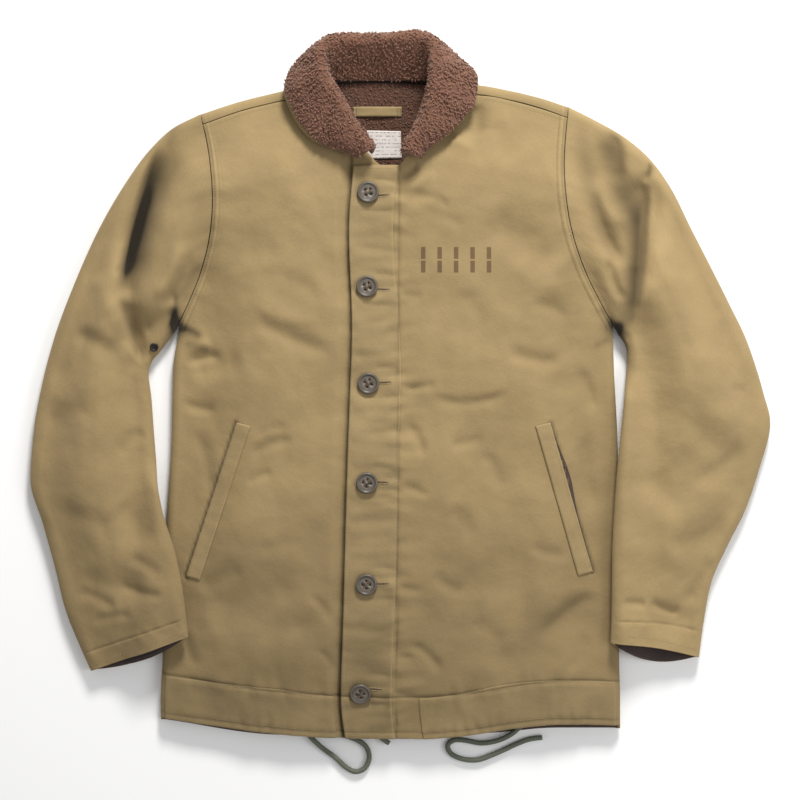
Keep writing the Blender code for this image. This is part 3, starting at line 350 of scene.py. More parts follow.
# Smaller creases, in the same columns as the folds
CREASES = [
    Fold(-155, 455, -60, 414, -5, -3.2, 9, 8),
    Fold(-150, 468, -80, 446, -4, 1.6, 10, 8),
    Fold(-155, 300, -105, 320, 4, -2.8, 7, 5),
    Fold(-150, 322, -112, 334, 3, -1.6, 5, 4),
    Fold(-158, 268, -128, 284, 3, -2.0, 5, 4),
    Fold(-236, 362, -190, 351, -3, -3.0, 6, 5),
    Fold(-232, 398, -184, 410, 5, -4.2, 7, 5),
    Fold(-228, 414, -196, 424, 3, 2.4, 6, 5),
    Fold(-214, 330, -196, 250, 3, -2.2, 9, 7),
    Fold(-196, 560, -206, 480, -4, -1.8, 12, 9),
    Fold(-140, 640, -96, 560, 8, 1.6, 22, 18),
    Fold(-120, 500, -76, 470, 4, -1.3, 9, 8),
    Fold(-212, 150, -158, 176, 5, -3.0, 12, 9),
    Fold(-176, 130, -70, 112, -5, -2.2, 14, 12),
    Fold(-150, 196, -92, 206, 3, -1.6, 9, 7),
    Fold(-90, 150, -64, 118, 3, -1.8, 5, 5),
    Fold(-80, 90, -60, 62, 2, -1.7, 4, 4),
    Fold(-230, 108, -212, 66, -3, -2.6, 8, 7),
    Fold(9, 606, 30, 622, -2, -3.2, 4, 4),
    Fold(14, 594, 50, 612, -3, 1.8, 6, 5),
    Fold(20, 587, 66, 572, 5, -2.2, 5, 4),
    Fold(30, 570, 84, 548, 4, -1.2, 7, 6),
    Fold(84, 690, 96, 650, 4, -5.5, 12, 12),
    Fold(64, 648, 92, 634, 3, 2.6, 8, 7),
    Fold(108, 668, 134, 620, 4, -2.4, 14, 11),
    Fold(73, 484, 102, 434, 6, -2.2, 11, 9),
    Fold(124, 418, 190, 404, -4, -3.6, 9, 7),
    Fold(150, 470, 196, 452, 3, -1.8, 8, 7),
    Fold(42, 366, 132, 372, -9, -3.0, 5, 6),
    Fold(16, 372, 52, 377, 3, -1.8, 3.5, 3.5),
    Fold(13, 341, 36, 298, 5, -2.8, 5, 4),
    Fold(62, 313, 104, 322, -2, -2.2, 6, 5),
    Fold(100, 306, 122, 262, 4, -1.8, 7, 6),
    Fold(13, 272, 44, 258, -2, -1.9, 4, 3.5),
    Fold(64, 246, 92, 206, 4, -1.6, 10, 8),
    Fold(44, 174, 82, 150, -3, -2.2, 7, 6),
    Fold(150, 205, 196, 190, -3, -1.9, 7, 6),
    Fold(18, 96, 56, 62, 5, -2.9, 5, 4),
    Fold(8, 80, 26, 79, 1, -1.9, 3, 3),
    Fold(232, 150, 160, 96, -6, -3.4, 10, 8),
    Fold(214, 108, 196, 62, 3, -2.0, 8, 7),
    Fold(84, 118, 128, 96, 3, -1.6, 9, 8),
    Fold(214, 330, 226, 236, -4, -2.4, 7, 7),
    Fold(206, 398, 224, 350, 3, -2.8, 6, 6),
]
SLEEVE_CREASES = [
    Fold(-253, 646, -297, 470, -7, -6.5, 14, 5),
    Fold(-262, 640, -304, 474, -6, 3.4, 4, 12),
    Fold(-296, 476, -272, 402, -2, -6.0, 10, 4),
    Fold(-303, 478, -280, 398, -2, 3.2, 4, 12),
    Fold(-216, 530, -250, 462, 5, -6.5, 8, 7),
    Fold(-226, 540, -262, 470, 4, 3.2, 7, 8),
    Fold(-206, 596, -222, 520, 3, -2.4, 9, 9),
    Fold(-354, 436, -298, 406, 6, -2.4, 10, 8),
    Fold(-346, 448, -300, 424, 5, 1.6, 9, 8),
    Fold(-304, 506, -290, 502, 0, -2.2, 5, 5),
    Fold(-330, 500, -302, 455, 5, 2.4, 14, 10),
    Fold(-384, 330, -320, 350, 8, -2.2, 14, 12),
    Fold(-300, 300, -270, 330, 4, -2.2, 9, 8),
    Fold(-372, 240, -300, 216, 6, -2.6, 13, 11),
    Fold(-290, 190, -250, 168, 3, -2.6, 7, 6),
    Fold(-350, 150, -300, 132, 4, -3.4, 7, 6),
    Fold(-300, 160, -246, 148, -3, -2.8, 6, 5),
    Fold(-330, 118, -280, 126, 3, -1.8, 5, 5),
    Fold(206, 676, 232, 596, -5, -6.5, 7, 9),
    Fold(214, 664, 250, 548, -7, 3.0, 8, 8),
    Fold(244, 664, 252, 600, 3, -5.0, 6, 7),
    Fold(222, 592, 262, 508, -8, -7.0, 8, 8),
    Fold(240, 520, 260, 470, -5, -5.0, 6, 6),
    Fold(276, 620, 262, 452, 5, -7.0, 5, 14),
    Fold(288, 622, 272, 448, 5, 3.6, 12, 5),
    Fold(292, 622, 278, 604, 2, -3.0, 4, 4),
    Fold(262, 440, 252, 380, 0, -4.0, 5, 10),
    Fold(372, 374, 392, 372, 1, -1.8, 4, 4),
    Fold(340, 462, 400, 400, 8, 1.8, 20, 18),
    Fold(390, 320, 330, 270, 6, -3.2, 12, 10),
    Fold(330, 316, 276, 262, 6, -2.6, 14, 12),
    Fold(374, 232, 300, 200, 5, -2.6, 12, 10),
    Fold(356, 190, 322, 136, 4, -3.4, 9, 8),
    Fold(282, 142, 322, 128, -3, -3.6, 6, 5),
    Fold(252, 140, 282, 136, 2, -2.6, 4, 4),
    Fold(300, 250, 296, 170, 4, 1.8, 18, 14),
]
for spot in BUTTONS:
    CREASES += [
        Fold(spot.x + 4, spot.y + 15, spot.x + 34, spot.y + 12, 1.5, -1.1, 3, 3),
        Fold(spot.x - 12, spot.y - 15, spot.x + 34, spot.y - 17, -2, -1.2, 3, 3),
        Fold(spot.x + 16, spot.y - 6, spot.x + 36, spot.y - 3, 1, 0.9, 4, 4),
        Fold(spot.x + 34, spot.y - 4, spot.x + 62, spot.y - 8, -2, -1.3, 4, 3),
    ]

# Lowest upper cloth of a sleeve, depth of the hem band, its lower stitches, width of the armhole seam
SLEEVE_LOW = 7.0
HEM_BAND = 45.0
HEM_STITCH = 7.0
FELL = 9.0
ARMHOLE_STITCHES = (2.6, 8.2)

# Place of the garment's own origin in the frame
LINING_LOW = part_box("neck_lining")[0] / MM
SHIFT = np.array([LINING_X[0] - LINING_LOW.x, LINING_START - LINING_LOW.y, 0.0])

# Density of the cloth meshes, in columns and rows
BODY_GRID = (118, 232)
BACK_GRID = (120, 150)
BACK_WRAP = 30
SLEEVE_GRID = (84, 66, 214)
COLLAR_GRID = (230, 54)
BAND_STEPS = 22
HEM_STEPS = 22

# Sewing thread
STITCH_PITCH = 3.1
STITCH_LENGTH = 2.5
STITCH_WIDTH = 0.55
STITCH_HEIGHT = 0.32

# Pile
TUFT_SPACING = 2.75
TUFT_LENGTH = 3.4
TUFT_WIDTH = 1.05
LINING_TUFT_SPACING = 3.0
LINING_TUFT_LENGTH = 2.6
LINING_TUFT_WIDTH = 1.0
TUFT_FLOOR = 0.3
TUFT_SIDES = 4

# Colours, as light reflected
KHAKI = (0.303, 0.217, 0.102)
KHAKI_TRIM = (0.300, 0.217, 0.104)
# the dark of the lining, also used to paint the shadow in slits, holes and pocket mouths
LINING_AND_SHADOW_DARK = (0.062, 0.038, 0.030)
PILE_BROWN = (0.185, 0.082, 0.049)
NECK_BROWN = (0.112, 0.048, 0.028)
KNIT_DARK = (0.040, 0.026, 0.024)
THREAD_KHAKI = (0.36, 0.27, 0.14)
THREAD_BROWN = (0.16, 0.10, 0.055)
CORD_OLIVE = (0.105, 0.115, 0.082)
BUTTON_COLOUR = (0.105, 0.087, 0.067)
INK = (0.105, 0.058, 0.030)
FLOOR_COLOUR = (0.93, 0.93, 0.93)

# Stencilled bars: box of the block, how many, how wide, and the gap across them
STENCIL_BOX = (33.0, 502.0, 123.0, 530.0)
STENCIL_BARS = 5
STENCIL_BAR = 5.0
STENCIL_BRIDGE = 1.8

# Printed rows of the label, in millimetres, and the rib of the cloth, in metres
LABEL_ROW = 4.2
LABEL_INK = 1.1
RIB_PITCH = 0.0011

# Painted shade in the creases of the body and of the sleeves; the height is how much darker
ARMPIT_CREASE_SHADE = [
    Fold(-238, 444, -206, 430, 3, 0.55, 4, 5),
    Fold(-232, 424, -198, 414, 3, 0.30, 5, 4),
    Fold(-236, 400, -196, 396, -2, 0.16, 4, 4),
    Fold(248, 440, 232, 470, 2, 0.30, 5, 5),
    Fold(246, 430, 222, 420, -2, 0.25, 5, 4),
]
DEEP_CREASE_SHADE = [
    Fold(-250, 652, -294, 474, -8, 0.80, 20, 5),
    Fold(-262, 606, -297, 476, -5, 0.35, 7, 4),
    Fold(-236, 684, -244, 636, -2, 0.22, 7, 5),
    Fold(-297, 482, -276, 404, -1, 0.24, 9, 3),
    Fold(-240, 486, -246, 440, 6, 0.38, 4, 3),
    Fold(-240, 470, -237, 430, 0, 0.60, 6, 6),
    Fold(-208, 520, -240, 470, 4, 0.22, 7, 6),
    Fold(284, 618, 263, 436, 6, 0.42, 3.5, 17),
    Fold(274, 590, 260, 428, 3, 0.34, 3.5, 10),
    Fold(208, 668, 262, 505, -9, 0.24, 9, 13),
    Fold(238, 672, 272, 545, -3, 0.46, 13, 15),
    Fold(222, 516, 258, 450, -4, 0.16, 5, 9),
    Fold(251, 452, 256, 416, 0, 0.70, 6, 6),
    Fold(286, 626, 283, 608, 1, 0.50, 3, 3),
    Fold(262, 430, 252, 372, 0, 0.55, 4, 9),
]

# Section of a button from its foot over the rim to the sunk plate: share of its radius, height, tone; the
# tone is painted shade in the groove and at the foot and painted light on the rim and plate
ButtonRing = namedtuple("ButtonRing", "share z tone")
BUTTON_PROFILE = [
    ButtonRing(0.80, 0.05, 0.7),
    ButtonRing(0.92, 0.30, 0.6),
    ButtonRing(0.985, 0.90, 0.6),
    ButtonRing(1.0, 1.7, 0.7),
    ButtonRing(1.0, 2.3, 0.8),
    ButtonRing(0.98, 2.9, 0.8),
    ButtonRing(0.945, 3.4, 0.85),
    ButtonRing(0.90, 3.7, 0.95),
    ButtonRing(0.86, 3.78, 1.0),
    ButtonRing(0.82, 3.65, 0.85),
    ButtonRing(0.785, 3.3, 0.62),
    ButtonRing(0.75, 2.95, 0.6),
    ButtonRing(0.71, 2.75, 0.8),
    ButtonRing(0.66, 2.65, 1.05),
    ButtonRing(0.58, 2.6, 1.15),
]
BUTTON_SIDES = 48
HOLE_SIDES = 14

# Cut of each cloth piece: flat width and length, and flat area, in metres
Cut = namedtuple("Cut", "piece width length area held rests_on")
CUTS = [
    Cut("cloth_front_left", 0.33, 0.72, 0.197, "laid", ["cloth_back"]),
    Cut("cloth_front_right", 0.28, 0.71, 0.163, "laid", ["cloth_back"]),
    Cut("cloth_back", 0.54, 0.76, 0.343, "laid", ["floor"]),
    Cut("cloth_band", 0.057, 0.63, 0.035, "laid", ["cloth_front_left"]),
    Cut("cloth_hem_left", 0.225, 0.048, 0.0107, "laid", ["cloth_front_left"]),
    Cut("cloth_hem_right", 0.196, 0.048, 0.0093, "laid", ["cloth_front_right"]),
    Cut("cloth_sleeve_right", 0.49, 0.62, 0.157, "laid", ["floor"]),
    Cut("cloth_sleeve_left", 0.50, 0.64, 0.165, "laid", ["floor"]),
    Cut("knit_cuff_right", 0.20, 0.031, 0.0048, "laid", ["cloth_sleeve_right"]),
    Cut("knit_cuff_left", 0.22, 0.032, 0.0053, "laid", ["cloth_sleeve_left"]),
    Cut("pile_collar", 0.41, 0.085, 0.032, "folded", ["cloth_under_collar"]),
    Cut("cloth_under_collar", 0.38, 0.080, 0.027, "folded", ["cloth_front_left", "cloth_front_right"]),
    Cut("pile_neck", 0.117, 0.136, 0.0155, "laid", ["cloth_back"]),
    Cut("cloth_loop", 0.011, 0.055, 0.0006, "laid", ["pile_neck"]),
    Cut("tape_label", 0.041, 0.031, 0.00127, "laid", ["pile_neck"]),
    Cut("cloth_welt_right", 0.018, 0.18, 0.0032, "laid", ["cloth_front_right"]),
    Cut("cloth_welt_left", 0.019, 0.18, 0.0034, "laid", ["cloth_front_left"]),
]

# Studio: lights in metres and watts, and the camera above the jacket
Light = namedtuple("Light", "name place size power colour")
LIGHTS = [
    Light("key", (0.35, 1.95, 1.25), 0.6, 64, (1.0, 0.985, 0.96)),
    Light("fill", (1.5, -0.3, 1.5), 1.2, 12, (0.98, 0.99, 1.0)),
]
WORLD_STRENGTH = 0.50
CAMERA_PLACE = (-0.0006, -0.0158, 2.10)
CAMERA_LENS = 85
CAMERA_SENSOR = 36


def curve(knots, values):
    """A smooth curve through a table that never overshoots it, read by the knots."""
    knots = np.asarray(knots, float)
    values = np.asarray(values, float)
    flat = values.ndim == 1
    if flat:
        values = values[:, None]
    steps = np.diff(knots)[:, None]
    slopes = np.diff(values, axis=0) / steps
    tangents = np.zeros_like(values)
    tangents[0] = slopes[0]
    tangents[-1] = slopes[-1]
    before, after = slopes[:-1], slopes[1:]
    product = before * after
    total = np.where(product > 0, before + after, 1)
    tangents[1:-1] = np.where(product > 0, 2 * product / total, 0)

    def read(t):
        t = np.clip(np.asarray(t, float), knots[0], knots[-1])
        i = np.clip(np.searchsorted(knots, t, side="right") - 1, 0, len(knots) - 2)
        h = steps[i, 0][..., None]
        s = (t - knots[i])[..., None] / h
        a = (1 + 2 * s) * (1 - s) ** 2
        b = s * (1 - s) ** 2
        c = s * s * (3 - 2 * s)
        d = s * s * (s - 1)
        out = a * values[i] + b * h * tangents[i] + c * values[i + 1] + d * h * tangents[i + 1]
        return out[..., 0] if flat else out

    return read


def smoothstep(t):
    """0 below 0, 1 above 1 and a soft ramp between."""
    t = np.clip(t, 0, 1)
    return t * t * (3 - 2 * t)


def roll(distance, radius):
    """Quarter round of an edge: 0 at the edge, 1 from radius on."""
    t = 1 - np.clip(distance / radius, 0, 1)
    return np.sqrt(np.clip(1 - t * t, 0, 1))


side_left = curve([s.y for s in SIDES], [s.left for s in SIDES])
side_right = curve([s.y for s in SIDES], [s.right for s in SIDES])
crown = curve([s.y for s in SIDES], [s.crown for s in SIDES])
ridge = curve([r.x for r in RIDGE], [r.y for r in RIDGE])
front_hem = curve([r.x for r in FRONT_HEM], [r.y for r in FRONT_HEM])
back_hem = curve([r.x for r in BACK_HEM], [r.y for r in BACK_HEM])
band_edge = curve([b.y for b in BAND_EDGE], [b.x for b in BAND_EDGE])


def fold_height(x, y, folds=FOLDS):
    """Sum of some folds at a plan position."""
    total = np.zeros(np.broadcast(x, y).shape)
    for f in folds:
        dx, dy = f.x1 - f.x0, f.y1 - f.y0
        length = math.hypot(dx, dy)
        along = ((x - f.x0) * dx + (y - f.y0) * dy) / length**2
        across = ((y - f.y0) * dx - (x - f.x0) * dy) / length
        inside = np.clip(along, 0, 1)
        across = across - f.bend * 4 * inside * (1 - inside)
        width = np.where(across > 0, f.left, f.right)
        taper = smoothstep(along / 0.25) * smoothstep((1 - along) / 0.25)
        total = total + f.height * np.exp(-((across / width) ** 2)) * taper
    return total


def side_distance(x, y):
    """Distance from a plan position out to the nearer side of the body."""
    return np.minimum(x - side_left(y), side_right(y) - x)


def ridge_distance(x, y):
    """Distance from a plan position up to the ridge of the shoulders and neck."""
    return ridge(x) - y


def noise(x, y, size, seed):
    """Smooth random field, about -1 to 1, whose cells have a given size."""
    u = np.asarray(x, float) / size + 31.7 * seed
    v = np.asarray(y, float) / size - 17.9 * seed
    i, j = np.floor(u), np.floor(v)
    du, dv = u - i, v - j

    def slope(a, b):
        turn = np.sin((i + a) * 127.1 + (j + b) * 311.7) * 43758.5453
        angle = 2 * math.pi * (turn - np.floor(turn))
        return np.cos(angle) * (du - a) + np.sin(angle) * (dv - b)

    su = du**3 * (du * (du * 6 - 15) + 10)
    sv = dv**3 * (dv * (dv * 6 - 15) + 10)
    low = slope(0, 0) * (1 - su) + slope(1, 0) * su
    high = slope(0, 1) * (1 - su) + slope(1, 1) * su
    return 1.5 * (low * (1 - sv) + high * sv)


def puckers(along, across, pitch, reach, height, seed):
    """Short uneven creases that run away from a seam, strongest beside it."""
    lean = 0.5 * across * noise(along, 0 * along, pitch * 5, seed + 1)
    strength = 0.6 + 0.6 * noise(along, 0 * along, pitch * 7, seed + 2)
    wave = noise(along + lean, across * 0.25, pitch, seed)
    return height * strength * wave * np.exp(-np.abs(across) / reach)


def groove(distance, depth, width):
    """A narrow hollow along a line."""
    return -depth * np.exp(-((distance / width) ** 2))


def band_right(y):
    """Right edge of the button band."""
    return 5 + 3 * y / 620


def armhole_place(x, y, shoulder, armpit):
    """Distance along an armhole from its shoulder, its length, and the distance from it into the body."""
    dx, dy = armpit[0] - shoulder[0], armpit[1] - shoulder[1]
    length = math.hypot(dx, dy)
    side = math.copysign(1, shoulder[0])
    away = (-side * dy / length, side * dx / length)
    along = ((x - shoulder[0]) * dx + (y - shoulder[1]) * dy) / length
    out = (x - shoulder[0]) * away[0] + (y - shoulder[1]) * away[1]
    share = np.clip(along / length, 0, 1)
    return along, length, -(out + ARMHOLE_BOW * np.sin(math.pi * share))


def line_place(x, y, x0, y0, x1, y1):
    """Distance along a line, its length, and the distance to its left."""
    dx, dy = x1 - x0, y1 - y0
    length = math.hypot(dx, dy)
    return (((x - x0) * dx + (y - y0) * dy) / length, length,
            ((y - y0) * dx - (x - x0) * dy) / length)


def window(along, length, fade):
    """1 along a line, falling to 0 past each of its ends."""
    return smoothstep((along + fade) / fade) * smoothstep((length + fade - along) / fade)


def armhole_relief(x, y):
    """Puckers, flat-felled strip and its two stitch grooves beside each armhole."""
    total = 0
    for seed, (shoulder, armpit) in zip((20, 30), ARMHOLES):
        along, length, inward = armhole_place(x, y, shoulder, armpit)
        strip = 0.9 * smoothstep((inward + 0.5) / 1.5) * smoothstep((FELL + 1 - inward) / 2)
        lines = groove(inward - 2.5, 0.5, 1.6) + groove(inward - FELL + 1, 0.6, 1.7)
        lines = lines + groove(inward + 1.5, 1.2, 2.2)
        wave = puckers(along, inward, 12, 12, 1.1, seed)
        total = total + (strip + lines + wave) * window(along, length, 12)
    return total


def pocket_relief(x, y):
    """The slit beside each welt, and the puckers round it."""
    total = 0
    for seed, w in ((40, WELTS["right"]), (50, WELTS["left"])):
        along, length, across = line_place(x, y, w.top_x, w.top_y, w.bottom_x, w.bottom_y)
        outward = across * -math.copysign(1, w.width)
        if w.width > 0:
            outward = -outward
        middle = np.clip(along / length, 0, 1)
        gape = 1.4 + (2.2 * np.sin(math.pi * middle) ** 2 if w.width < 0 else 0)
        slit = -2.6 * np.exp(-(((outward + gape) / gape) ** 2)) * window(along, length, 3)
        wave = puckers(along, across, 11, 13, 1.2, seed) * window(along, length, 14)
        total = total + slit + wave
    return total


def body_relief(x, y):
    """Creases, puckers and seams of the body's upper cloth."""
    total = 1.6 * noise(x, y, 90, 1) + 1.0 * noise(x, y, 41, 2) + 0.32 * noise(x, y, 17, 3)
    total = total + 0.72 * fold_height(x, y, CREASES)
    beside = x - band_right(y)
    total = total + puckers(y, beside, 10, 13, 2.4, 4) + groove(beside - 1.5, 0.5, 1.8)
    total = total + puckers(y, x - band_edge(y), 12, 9, 1.3, 6)
    on_band = smoothstep((x - band_edge(y)) / 8) * smoothstep((band_right(y) + 4 - x) / 8)
    total = total + 0.7 * on_band * noise(0.3 * x, y, 11, 5)
    above = y - front_hem(x) - HEM_BAND - 0.012 * np.abs(x)
    total = total + puckers(x, above, 13, 12, 2.5, 8) + groove(above - 1, 0.8, 2.2)
    low = y - front_hem(x) - HEM_STITCH
    total = total + puckers(x, low, 10, 9, 1.9, 10) + groove(low, 0.5, 1.6)
    return 1.5 * total + 1.3 * armhole_relief(x, y) + pocket_relief(x, y)


def cuff_line(c):
    """Share of the sleeve's length at which the cuff's seam lies."""
    return 0.952 - 0.014 * c


def sleeve_relief(x, y, s, c, width):
    """Creases, puckers and seams of a sleeve's upper cloth."""
    total = 1.5 * noise(x, y, 75, 12) + 0.9 * noise(x, y, 33, 13) + 0.3 * noise(x, y, 15, 14)
    total = total + 0.8 * fold_height(x, y, SLEEVE_CREASES)
    above = (cuff_line(c) - s) * 600
    total = total + puckers(c * width, above, 12, 12, 2.2, 15) + groove(above, 0.9, 2.2)
    total = total + puckers(c * width, above + 24, 11, 6, 0.7, 17)
    return 1.3 * total + armhole_relief(x, y) * smoothstep(1 - s / 0.2)


def body_top(x, y):
    """Height of the outer face of the front over a plan position."""
    to_side, to_ridge = side_distance(x, y), ridge_distance(x, y)
    edge = roll(np.minimum(to_side, to_ridge), EDGE_ROLL)
    rise = smoothstep((to_side - EDGE_ROLL) / BODY_RISE)
    rise = rise * smoothstep((to_ridge - EDGE_ROLL) / BODY_RISE)
    inside = smoothstep((np.minimum(to_side, to_ridge) - EDGE_ROLL * 0.5) / 25)
    low = EDGE_HALF + SEAM / 2
    high = EDGE_HALF - SEAM / 2
    folds = (fold_height(x, y) + body_relief(x, y)) * inside
    return low + high * edge + (crown(y) - 2 * EDGE_HALF) * rise + folds


def body_under(x, y):
    """Height of the outer face of the back: flat on the table, rolled up at its edges."""
    distance = np.minimum(side_distance(x, y), ridge_distance(x, y))
    return (EDGE_HALF - SEAM / 2) * (1 - roll(distance, EDGE_ROLL))


def armhole(shoulder, armpit, bow, t):
    """Plan position on the body's side of an armhole, from the shoulder at t = 0 to the armpit."""
    a, b = np.array(shoulder, float), np.array(armpit, float)
    chord = b - a
    away = np.array([chord[1], -chord[0]]) / np.hypot(*chord)
    if away[0] * a[0] < 0:
        away = -away
    t = np.asarray(t, float)[..., None]
    bow = np.asarray(bow, float)[..., None]
    return a + chord * t - away * bow * np.sin(math.pi * t)


def coons(u, v, bottom, top, inner, outer):
    """Plan position inside four boundary curves."""
    zero, one = np.zeros(1), np.ones(1)
    b0, b1, t0, t1 = bottom(zero)[0], bottom(one)[0], top(zero)[0], top(one)[0]
    a, c = u[..., None], v[..., None]
    corners = (1 - a) * (1 - c) * b0 + a * (1 - c) * b1 + (1 - a) * c * t0 + a * c * t1
    return (1 - c) * bottom(u) + c * top(u) + (1 - a) * inner(v) + a * outer(v) - corners


def front_panel(columns, shoulder, armpit, side, inner_x, sink):
    """The outer face of one front: u runs from the centre to the side, v from hem to top."""
    us = [c.u for c in columns]
    hem_x = curve(us, [c.hem_x for c in columns])
    seam_y = [float(ridge(c.top_x)) - SHOULDER_STRIP - SHOULDER_GAP for c in columns]
    tops = [(c.top_x, y if c.top_y is None else c.top_y) for c, y in zip(columns, seam_y)]
    top_curve = curve(us, tops)
    start_y, end_y = float(front_hem(columns[-1].hem_x)), armpit[1]

    def bottom(u):
        x = hem_x(u)
        return np.stack([x, front_hem(x)], -1)

    def inner(v):
        y = front_hem(columns[0].hem_x) * (1 - v) + tops[0][1] * v
        return np.stack([inner_x(y), y], -1)

    def outer(v):
        low_y = start_y + (end_y - start_y) * np.clip(v / ARMPIT_ROW, 0, 1)
        low = np.stack([side(low_y), low_y], -1)
        climb = np.clip((v - ARMPIT_ROW) / (1 - ARMPIT_ROW), 0, 1)
        high = armhole(shoulder, armpit, ARMHOLE_BOW, 1 - (1 - STRIP_SHARE) * climb)
        high = high - np.array([0, SHOULDER_GAP]) * smoothstep((v - 0.9) / 0.1)[..., None]
        return np.where((v < ARMPIT_ROW)[..., None], low, high)

    corner = outer(np.ones(1))[0] - np.array(tops[-1])

    def top(u):
        return top_curve(u) + corner * smoothstep((u - 0.7) / 0.3)[..., None]

    def face(u, v):
        plan = coons(u, v, bottom, top, inner, outer)
        x, y = plan[..., 0], plan[..., 1]
        return np.stack([x, y, body_top(x, y) - sink(x, y)], -1)

    return face


def no_sink(x, y):
    """The left front lies on top, so it dips nowhere."""
    return np.zeros(np.broadcast(x, y).shape)


def underlap_sink(x, y):
    """The right front dips under the left one along the centre."""
    return UNDERLAP_SINK * smoothstep((x - band_edge(y) + 16) / 12)


def right_inner(y):
    """Hidden edge of the right front, under the left one."""
    return band_edge(y) + UNDERLAP


front_left = front_panel(
    FRONT_LEFT_COLUMNS, SHOULDER_LEFT, ARMPIT_LEFT, side_right, band_edge, no_sink
)
front_right = front_panel(
    FRONT_RIGHT_COLUMNS, SHOULDER_RIGHT, ARMPIT_RIGHT, side_left, right_inner, underlap_sink
)


def wrap_amount(x):
    """1 where the back is carried over the shoulder, 0 along the neck."""
    return np.maximum(smoothstep((-76 - x) / 30), smoothstep((x - 56) / 24))


def back_face(u, v):
    """The outer face of the back: u across, v up to 1 at the shoulder roll and on over it to 2."""
    def low_side(side, armpit, w):
        y = float(back_hem(254 * np.sign(armpit[0]))) * (1 - w) + armpit[1] * w
        return np.stack([side(y), y], -1)

    def boundary(shoulder, armpit, side):
        def read(w):
            low = low_side(side, armpit, np.clip(w / ARMPIT_ROW, 0, 1))
            climb = np.clip((w - ARMPIT_ROW) / (1 - ARMPIT_ROW), 0, 1)
            high = armhole(shoulder, armpit, ARMHOLE_BOW_BACK, 1 - (1 - WRAP_SHARE) * climb)
            return np.where((w < ARMPIT_ROW)[..., None], low, high)

        return read

    inner = boundary(SHOULDER_RIGHT, ARMPIT_RIGHT, side_left)
    outer = boundary(SHOULDER_LEFT, ARMPIT_LEFT, side_right)
    first, last = inner(np.ones(1))[0], outer(np.ones(1))[0]

    def bottom(w):
        x = -254 + 508 * w
        return np.stack([x, back_hem(x)], -1)

    def top(w):
        x = first[0] + (last[0] - first[0]) * w
        fit = (first[1] - float(ridge(first[0])) + 12) * smoothstep(1 - w / 0.15)
        fit = fit + (last[1] - float(ridge(last[0])) + 12) * smoothstep((w - 0.85) / 0.15)
        return np.stack([x, ridge(x) - 12 + fit], -1)

    flat = coons(u, np.clip(v, 0, 1), bottom, top, inner, outer)
    x = flat[..., 0]
    amount = wrap_amount(x)
    progress = np.clip(v - 1, 0, 1) * (0.5 + 0.5 * amount)
    under = np.clip(progress / 0.5, 0, 1)
    over = np.clip((progress - 0.5) / 0.35, 0, 1)
    strip = np.clip((progress - 0.85) / 0.15, 0, 1)
    distance_under = EDGE_ROLL * (1 - np.sin(math.pi / 2 * under)) + 2 * (1 - under)
    distance_over = EDGE_ROLL * (1 - np.cos(math.pi / 2 * over)) + (SHOULDER_STRIP - EDGE_ROLL) * strip
    distance = np.where(progress <= 0.5, distance_under, distance_over)
    bow = np.where(progress > 0.5, ARMHOLE_BOW, ARMHOLE_BOW_BACK)
    near_right, near_left = smoothstep(1 - u / 0.15), smoothstep((u - 0.85) / 0.15)
    right_end = armhole(SHOULDER_RIGHT, ARMPIT_RIGHT, bow, distance / 12 * WRAP_SHARE)
    left_end = armhole(SHOULDER_LEFT, ARMPIT_LEFT, bow, distance / 12 * WRAP_SHARE)
    wrapped_x = x + (right_end[..., 0] - first[0]) * near_right + (left_end[..., 0] - last[0]) * near_left
    wrapped_y = ridge(wrapped_x) - distance
    wrapped_y = wrapped_y + (right_end[..., 1] - ridge(right_end[..., 0]) + distance) * near_right
    wrapped_y = wrapped_y + (left_end[..., 1] - ridge(left_end[..., 0]) + distance) * near_left
    on_top = progress > 0.5
    beyond = v > 1
    px = np.where(beyond, wrapped_x, x)
    py = np.where(beyond, wrapped_y, flat[..., 1])
    z = np.where(beyond & on_top, body_top(px, py), body_under(px, py))
    return np.stack([px, py, z], -1)


def lift_over_body(x, y, start):
    """How far a sleeve is raised where it lies over the side of the body."""
    inside = side_distance(x, y)
    clear = 2.5
    over = np.maximum(2 * EDGE_HALF, body_top(x, y)) + clear
    beside = (2 * EDGE_HALF + clear) * (1 - smoothstep(-inside / LIFT_REACH))
    return np.where(inside > 0, over, beside) * smoothstep((start - y) / LIFT_RUN)


